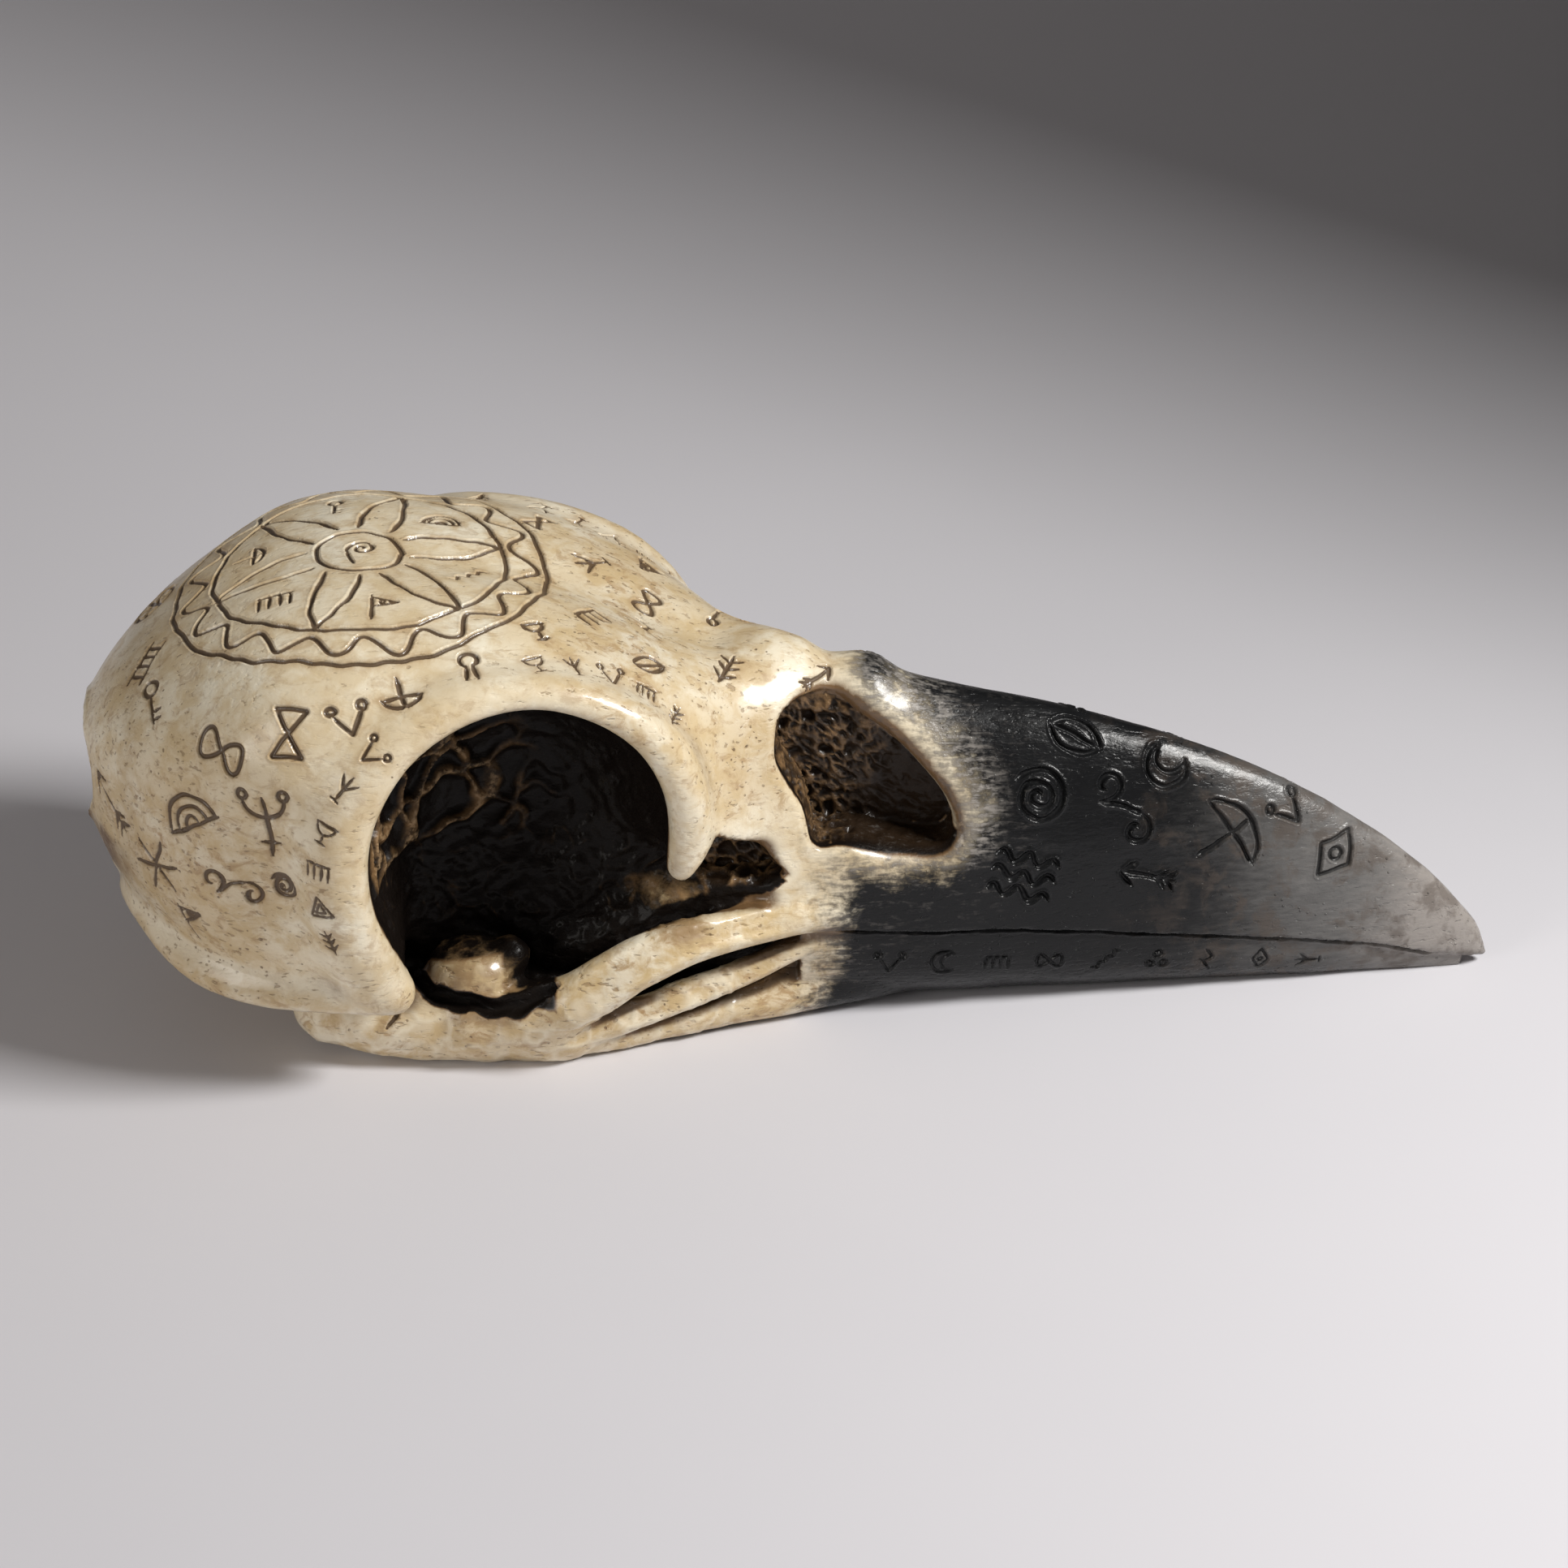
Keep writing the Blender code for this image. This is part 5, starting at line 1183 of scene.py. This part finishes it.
def paint(name, warm, coat=0.55):
    """Antiqued cast resin: ivory with brown wash, painted shade and painted highlights, dark hollows, and the black
    painted bill with its pewter tip.
    """
    g = Nodes(name)
    hollow, groove, halo, ridge, vein = [g.attr(n) for n in ("hollow", "groove", "halo", "ridge", "vein")]
    occ1, occ3, occ7, border, stain, sponge, convex, lump = [g.attr(n) for n in ("occ1", "occ3", "occ7", "paint", "stain", "sponge", "convex", "lump")]
    broad, mid, fine = g.noise(16, 3, 0.5, 0.3), g.noise(4.5, 5, 0.62, 0.4, shift=4), g.noise(0.9, 3, 0.6, 0.2, shift=9)
    hair = g.noise(0.75, 3, 0.6, 0.3, (6.0, 1, 1), 3)
    nick = g.noise(0.85, 2, 0.5, 0.3, (2.6, 1.0, 0.8), 21)

    # ivory, uneven, with stains, painted shade over the back of the braincase and towards the bottom, convex edges
    # lighter as worn paint and painted highlight, and small nicks that hold the wash
    col = g.mix(g.span(broad, 0.35, 0.68), IVORY, CREAM)
    col = g.mix(g.mul(g.span(mid, 0.38, 0.64), g.add(g.mul(stain, 0.60), 0.38 + warm)), col, OCHRE)
    # painted shade: a brown glaze, strongest over the back of the braincase and towards the bottom, also over the real
    # stains
    col = g.mix(g.span(stain, 0.35, 1.0, 0, 0.34), col, (0.45, 0.325, 0.18, 1))
    patch = g.span(g.noise(2.6, 6, 0.72, 0.8, (1.8, 1, 1), 14), 0.50, 0.66)
    col = g.mix(g.mul(patch, g.add(g.mul(stain, 0.75), 0.17 + 0.5 * warm)), col, TAN)
    # lighter on convex edges: worn paint, and a painted highlight
    col = g.mix(g.mul(g.span(convex, 0.12, 0.5), 0.55), col, CREAM)
    spots = g.mul(g.span(nick, 0.635, 0.70), g.span(g.add(g.mul(stain, 0.55), mid), 0.60, 0.86))
    col = g.mix(g.mul(spots, 0.60), col, (0.26, 0.155, 0.07, 1))
    pores = g.mul(g.span(g.add(g.cells(1.7, 2), g.mul(g.calc("SUBTRACT", fine, 0.5), 0.25)), 0.15, 0.06), g.span(g.add(g.mul(stain, 0.35), g.noise(6, 3, shift=31)), 0.70, 0.86))
    col = g.mix(g.mul(pores, 0.75), col, BROWN)
    col = g.mix(g.mul(vein, 0.55), col, CREAM)
    # brown wash in the creases, laid by the occlusion masks, so it is also painted shade; umber painted shade in the
    # deepest recesses
    wash_and_shade = g.add(g.span(occ1, 0.08, 0.50, 0, 0.85), g.span(occ3, 0.12, 0.60, 0, 0.75))
    wash_and_shade = g.mul(wash_and_shade, g.span(g.add(mid, g.mul(fine, 0.4)), 0.35, 0.85, 0.45, 1.15))
    col = g.mix(g.calc("MINIMUM", wash_and_shade, 1.0), col, BROWN)
    # painted shade: umber where the occlusion is deep
    col = g.mix(g.mul(g.span(occ7, 0.45, 0.85), g.span(occ3, 0.25, 0.7, 0, 0.85)), col, UMBER)
    # cut lines: dark in the bottom, a stained edge
    col = g.mix(g.mul(halo, g.span(mid, 0.38, 0.7, 0.12, 0.55)), col, TAN)
    col = g.mix(g.span(g.add(groove, g.mul(fine, 0.25)), 0.42, 0.95, 0, 0.94), col, (0.085, 0.046, 0.019, 1))
    # dark hollows: a brown edge, pitch inside, and ridges rubbed with brown, which also paints in the highlights the
    # ridges catch
    edge = g.add(hollow, g.mul(g.calc("SUBTRACT", mid, 0.5), 0.5))
    col = g.mix(g.span(edge, 0.08, 0.42), col, BROWN)
    inside = g.mix(g.span(edge, 0.32, 0.62), col, PITCH)
    inside = g.mix(g.mul(sponge, g.span(edge, 0.3, 0.6, 0, 0.45)), inside, (0.040, 0.022, 0.010, 1))
    crest = g.calc("SUBTRACT", g.add(ridge, g.mul(mid, 0.5)), g.mul(sponge, 0.12))
    # brown on the ridge crests, partly rubbed paint and partly painted highlight
    rub_and_highlight = g.mul(g.span(crest, 0.62, 1.15), g.span(g.add(g.noise(3.2, 3, shift=17), g.mul(fine, 0.25)), 0.50, 0.80, 0.12, 1.0))
    inside = g.mix(g.mul(g.span(g.add(lump, g.mul(g.calc("SUBTRACT", mid, 0.5), 1.2)), 0.35, 0.80), 0.85), inside, (0.30, 0.19, 0.09, 1))
    inside = g.mix(g.mul(g.span(g.add(lump, g.mul(g.calc("SUBTRACT", g.noise(2.2, 4, shift=8), 0.5), 1.6)), 0.70, 1.15), 0.9), inside, (0.56, 0.42, 0.23, 1))
    col = g.mix(g.mul(g.mul(rub_and_highlight, g.span(edge, 0.3, 0.6)), g.span(sponge, 0.2, 0.8, 0.80, 0.85)), inside, (0.25, 0.145, 0.064, 1))
    # painted highlight: a lighter tan on the highest crests
    col = g.mix(g.mul(g.mul(g.span(crest, 1.02, 1.30), g.span(edge, 0.3, 0.6)), g.span(fine, 0.40, 0.65, 0, 0.8)), col, (0.46, 0.31, 0.17, 1))

    # black bill: the border is brushed out in hairs and spots, with steel glints just past it
    reach = g.add(border, g.add(g.mul(g.calc("SUBTRACT", hair, 0.5), 4.5), g.add(g.mul(g.calc("SUBTRACT", mid, 0.5), 8.0), g.mul(g.calc("SUBTRACT", fine, 0.5), 3.0))))
    reach = g.add(reach, g.mul(g.calc("SUBTRACT", broad, 0.5), 9.0))
    black = g.span(reach, -2.4, 2.8)
    smoke = g.mul(g.span(reach, -6.5, 0.8, 0, 0.80), g.span(g.add(g.mul(fine, 0.6), hair), 0.60, 1.0, 0.30, 1.0))
    col = g.mix(g.mul(smoke, g.span(hollow, 0.5, 0.1)), col, (0.075, 0.062, 0.052, 1))
    place = g.node("ShaderNodeSeparateXYZ")
    g.put(place.inputs[0], g.where)
    tip = g.add(g.mul(place.outputs[0], 1000.0), g.add(g.mul(g.calc("SUBTRACT", broad, 0.5), 22.0), g.mul(g.calc("SUBTRACT", hair, 0.5), 15.0)))
    under = g.span(g.mul(place.outputs[2], 1000.0), 6.0, 1.0, 0, 9.0)
    tip = g.calc("SUBTRACT", tip, under)
    dark = g.mix(g.span(tip, 54.0, 84.0, 0, 0.85), SOOT, STEEL)
    dark = g.mix(g.span(tip, 76.0, 102.0, 0, 0.9), dark, PEWTER)
    dark = g.mix(g.mul(g.span(border, 16.0, 1.0), g.span(g.add(hair, g.mul(fine, 0.4)), 0.74, 0.95, 0, 0.20)), dark, PEWTER)
    dark = g.mix(g.mul(g.span(tip, 44.0, 70.0), g.span(mid, 0.46, 0.62, 0, 0.55)), dark, (0.085, 0.064, 0.050, 1))
    beside = g.mul(g.span(border, 6.5, 0.0), g.span(g.mul(place.outputs[2], 1000.0), 25.0, 29.0))
    dark = g.mix(g.mul(beside, g.span(g.add(hair, g.mul(fine, 0.5)), 0.62, 0.95, 0, 0.85)), dark, (0.40, 0.37, 0.335, 1))
    dark = g.mix(g.span(groove, 0.45, 0.9, 0, 0.8), dark, SOOT)
    # painted shade: the black darker in creases, as under the edge of the upper bill
    dark = g.mix(g.span(occ1, 0.25, 0.6, 0, 0.9), dark, SOOT)
    col = g.mix(black, col, dark)

    # relief finer than the mesh: pores, nicks, brush marks, and a faint orange peel in the varnish
    relief = g.calc("SUBTRACT", g.mul(fine, 0.25), g.add(g.mul(pores, 0.9), g.mul(spots, 0.55)))
    relief = g.add(relief, g.mul(g.span(nick, 0.50, 0.70), -0.25))
    normal = g.bump(relief, 0.00016)
    relief = g.add(g.mul(hair, g.span(black, 0.3, 0.9)), g.mul(g.noise(0.35, 2, 0.5, 0, shift=5), g.add(g.mul(hollow, 0.8), 0.12)))
    grit = g.mul(g.mul(g.span(g.cells(1.3, 6), 0.20, 0.05), black), g.span(g.noise(7, 3, shift=23), 0.46, 0.60))
    relief = g.add(relief, g.mul(grit, 2.5))
    normal = g.bump(relief, 0.00010, normal)

    rough = g.span(g.add(mid, g.mul(fine, 0.3)), 0.40, 0.85, 0.34, 0.50)
    rough = g.add(rough, g.mul(groove, 0.15))
    rough = g.calc("SUBTRACT", rough, g.mul(black, g.span(hair, 0.35, 0.65, 0.12, 0.22)))
    b = g.node("ShaderNodeBsdfPrincipled")
    g.put(b.inputs["Base Color"], col)
    g.put(b.inputs["Roughness"], rough)
    g.put(b.inputs["Normal"], normal)
    matt = g.calc("MAXIMUM", g.mul(g.span(hollow, 0.2, 0.8, 0, 0.85), g.calc("SUBTRACT", 1.0, g.mul(g.mul(sponge, ridge), 0.6))), g.mul(black, 0.66))
    g.put(b.inputs["Coat Weight"], g.calc("SUBTRACT", coat, g.mul(matt, coat)))
    g.put(b.inputs["Specular IOR Level"], g.calc("SUBTRACT", 0.40, g.mul(matt, 0.36)))
    b.inputs["Coat Roughness"].default_value = 0.16
    b.inputs["Coat IOR"].default_value = 1.5
    out = g.node("ShaderNodeOutputMaterial")
    g.put(out.inputs["Surface"], b.outputs[0])
    return g.mat


FINISH = {"bone": paint("antiqued_bone", 0.0), "jaw": paint("antiqued_jaw", 0.26), "base": paint("brown_washed_base", 0.26), "bill": paint("black_varnished_bill", 0.0)}
USE = {"cranium": ("bone", "bone_cranium"), "upper_beak": ("bill", "black_upper_bill"), "lower_beak": ("bill", "black_lower_bill"),
       "skull_base": ("base", "brown_base"), "jaw_right": ("jaw", "bone_jaw"), "jaw_left": ("jaw", "bone_jaw"),
       "cheek_bar_right": ("jaw", "bone_cheek"), "cheek_bar_left": ("jaw", "bone_cheek")}


def key_of(co):
    """One number for each exact place."""
    b = np.ascontiguousarray(co, np.float32).view(np.uint32).reshape(-1, 3).astype(np.uint64)
    return b[:, 0] * np.uint64(73856093) ^ (b[:, 1] * np.uint64(19349663) << np.uint64(7)) ^ (b[:, 2] * np.uint64(83492791) << np.uint64(13))


known = np.sort(key_of(row(V)))
whole_tree = BVHTree.FromPolygons(V.tolist(), T.tolist())


def settle(me):
    """Vertices made by the cuts take the normal and the paint of the surface that they lie on."""
    co = np.empty(3 * len(me.vertices), np.float32)
    me.vertices.foreach_get("co", co)
    k = key_of(co.reshape(-1, 3))
    at = np.minimum(np.searchsorted(known, k), len(known) - 1)
    new = np.nonzero(known[at] != k)[0]
    if not len(new):
        return
    P = co.reshape(-1, 3)[new].astype(float) / MM + (CENTRE_X, 0, 0)
    near = [whole_tree.find_nearest(p) for p in P.tolist()]
    t = T[[n[2] for n in near]]
    q = np.array([n[0] for n in near])
    a, b, c = V[t[:, 0]], V[t[:, 1]], V[t[:, 2]]
    area = np.linalg.norm(np.cross(b - a, c - a), axis=1) + 1e-12
    wa = np.linalg.norm(np.cross(b - q, c - q), axis=1) / area
    wb = np.linalg.norm(np.cross(c - q, a - q), axis=1) / area
    W = np.stack([wa, wb, np.maximum(1 - wa - wb, 0)], 1)
    W /= W.sum(1, keepdims=True)
    for name, values in POINT.items():
        data = np.empty(len(me.vertices), np.float32)
        me.attributes[name].data.foreach_get("value", data)
        data[new] = (values[t] * W).sum(1)
        me.attributes[name].data.foreach_set("value", data)
    data = np.empty(3 * len(me.vertices), np.float32)
    me.attributes["nrm"].data.foreach_get("vector", data)
    data = data.reshape(-1, 3)
    data[new] = (N2[t] * W[:, :, None]).sum(1)
    me.attributes["nrm"].data.foreach_set("vector", data.ravel())


for node, ob in made.items():
    me = ob.data
    settle(me)
    nf = len(me.polygons)
    names = [m.name if m else "" for m in me.materials]
    fill = np.array([n.startswith("fill") for n in names] + [False])
    mi = np.zeros(nf, np.int32)
    me.polygons.foreach_get("material_index", mi)
    cap = fill[mi]
    starts, totals = np.zeros(nf, np.int32), np.zeros(nf, np.int32)
    me.polygons.foreach_get("loop_start", starts)
    me.polygons.foreach_get("loop_total", totals)
    lv = np.zeros(len(me.loops), np.int32)
    me.loops.foreach_get("vertex_index", lv)
    nv = np.zeros(3 * len(me.vertices), np.float32)
    me.attributes["nrm"].data.foreach_get("vector", nv)
    nv = unit(nv.reshape(-1, 3).astype(float))
    fn = np.zeros(3 * nf, np.float32)
    me.polygons.foreach_get("normal", fn)
    fn = fn.reshape(-1, 3)
    owner = np.repeat(np.arange(nf), totals)
    ln = np.where(cap[owner][:, None], fn[owner], nv[lv])
    me.materials.clear()
    me.materials.append(FINISH[USE[node][0]])
    me.polygons.foreach_set("material_index", np.zeros(nf, np.int32))
    me.polygons.foreach_set("use_smooth", np.ones(nf, bool))
    me.update()
    me.normals_split_custom_set(ln.astype(np.float32))
    me.attributes.remove(me.attributes["nrm"])
    for k in [u.name for u in me.uv_layers]:
        me.uv_layers.remove(me.uv_layers[k])
    ob.name = node + "_cast"
    me.name = node + "_cast"
    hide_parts(node)
    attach(ob, "root")
    print(ob.name, nf)
for m in (SURFACE, FILL):
    bpy.data.materials.remove(m)

# ------------------------------------------------------------------ floor, light and camera
FLOOR_X, FLOOR_Y = 1.6, 1.6
floor = mesh_from("floor", [(-FLOOR_X, -FLOOR_Y, 0), (FLOOR_X, -FLOOR_Y, 0), (FLOOR_X, FLOOR_Y, 0), (-FLOOR_X, FLOOR_Y, 0)], [(0, 1, 2), (0, 2, 3)])
floor_ob = bpy.data.objects.new("floor", floor)
floor_ob.location = (0, 0, -0.00002)
bpy.context.scene.collection.objects.link(floor_ob)
f = Nodes("pale_paper")
fb = f.node("ShaderNodeBsdfPrincipled")
f.put(fb.inputs["Base Color"], f.mix(f.noise(60, 3, 0.6), (0.685, 0.675, 0.710, 1), (0.705, 0.695, 0.730, 1)))
fb.inputs["Roughness"].default_value = 0.7
fo = f.node("ShaderNodeOutputMaterial")
f.put(fo.inputs["Surface"], fb.outputs[0])
floor.materials.append(f.mat)

scene = bpy.context.scene
scene.view_settings.view_transform = "Standard"
world = bpy.data.worlds.new("studio")
world.use_nodes = True
world.node_tree.nodes["Background"].inputs[0].default_value = (0.90, 0.85, 0.83, 1)
world.node_tree.nodes["Background"].inputs[1].default_value = 0.15
scene.world = world


def lamp(name, place, aim, size, power, colour=(1, 1, 1), size_y=None):
    d = bpy.data.lights.new(name, "AREA")
    d.shape = "RECTANGLE"
    d.size, d.size_y = size, size if size_y is None else size_y
    d.energy, d.color = power, colour
    ob = bpy.data.objects.new(name, d)
    ob.location = place
    ob.rotation_euler = (Vector(aim) - Vector(place)).to_track_quat("-Z", "Y").to_euler()
    scene.collection.objects.link(ob)
    return ob


KEY = np.array([0.52, -0.19, 0.55])
lamp("key", KEY, (0.0, 0.0, 0.0), 0.20, 6.5, (1.0, 0.985, 0.96), 0.20)
lamp("left_fill", (-0.86, -0.66, 0.36), (-0.04, 0, 0.03), 0.50, 3.1, (1.0, 0.96, 0.91), 0.45)

# a card, out of every camera's sight, that keeps the key light off the far right of the floor
edge_a, edge_b, away = np.array([0.60, -0.26]), np.array([-0.60, 0.79]), np.array([0.66, 0.75]) * 1.6
shade = [KEY + 0.5 * (np.array([*f2, 0.0]) - KEY) for f2 in (edge_a, edge_b, edge_b + away, edge_a + away)]
card = bpy.data.objects.new("card", mesh_from("card", shade, [(0, 1, 2), (0, 2, 3)]))
card.visible_camera = False
scene.collection.objects.link(card)
cardboard = bpy.data.materials.new("black_card")
cardboard.use_nodes = True
cardboard.node_tree.nodes["Principled BSDF"].inputs["Base Color"].default_value = (0.02, 0.02, 0.02, 1)
card.data.materials.append(cardboard)

az, el = np.radians(-1.5), np.radians(30.0)
FORWARD = np.array([-np.sin(az) * np.cos(el), np.cos(az) * np.cos(el), -np.sin(el)])
HALF_VIEW = np.radians(8.5)
DISTANCE = 0.1225 * 966 / np.tan(HALF_VIEW) * MM
cam = bpy.data.cameras.new("camera")
cam.sensor_fit = "HORIZONTAL"
cam.angle = 2 * HALF_VIEW
cam.clip_start, cam.clip_end = 0.05, 10
cam_ob = bpy.data.objects.new("camera", cam)
cam_ob.location = np.array([-CENTRE_X, 0, 33.0]) * MM - FORWARD * DISTANCE
cam_ob.rotation_euler = Vector(FORWARD).to_track_quat("-Z", "Y").to_euler()
scene.collection.objects.link(cam_ob)
scene.camera = cam_ob
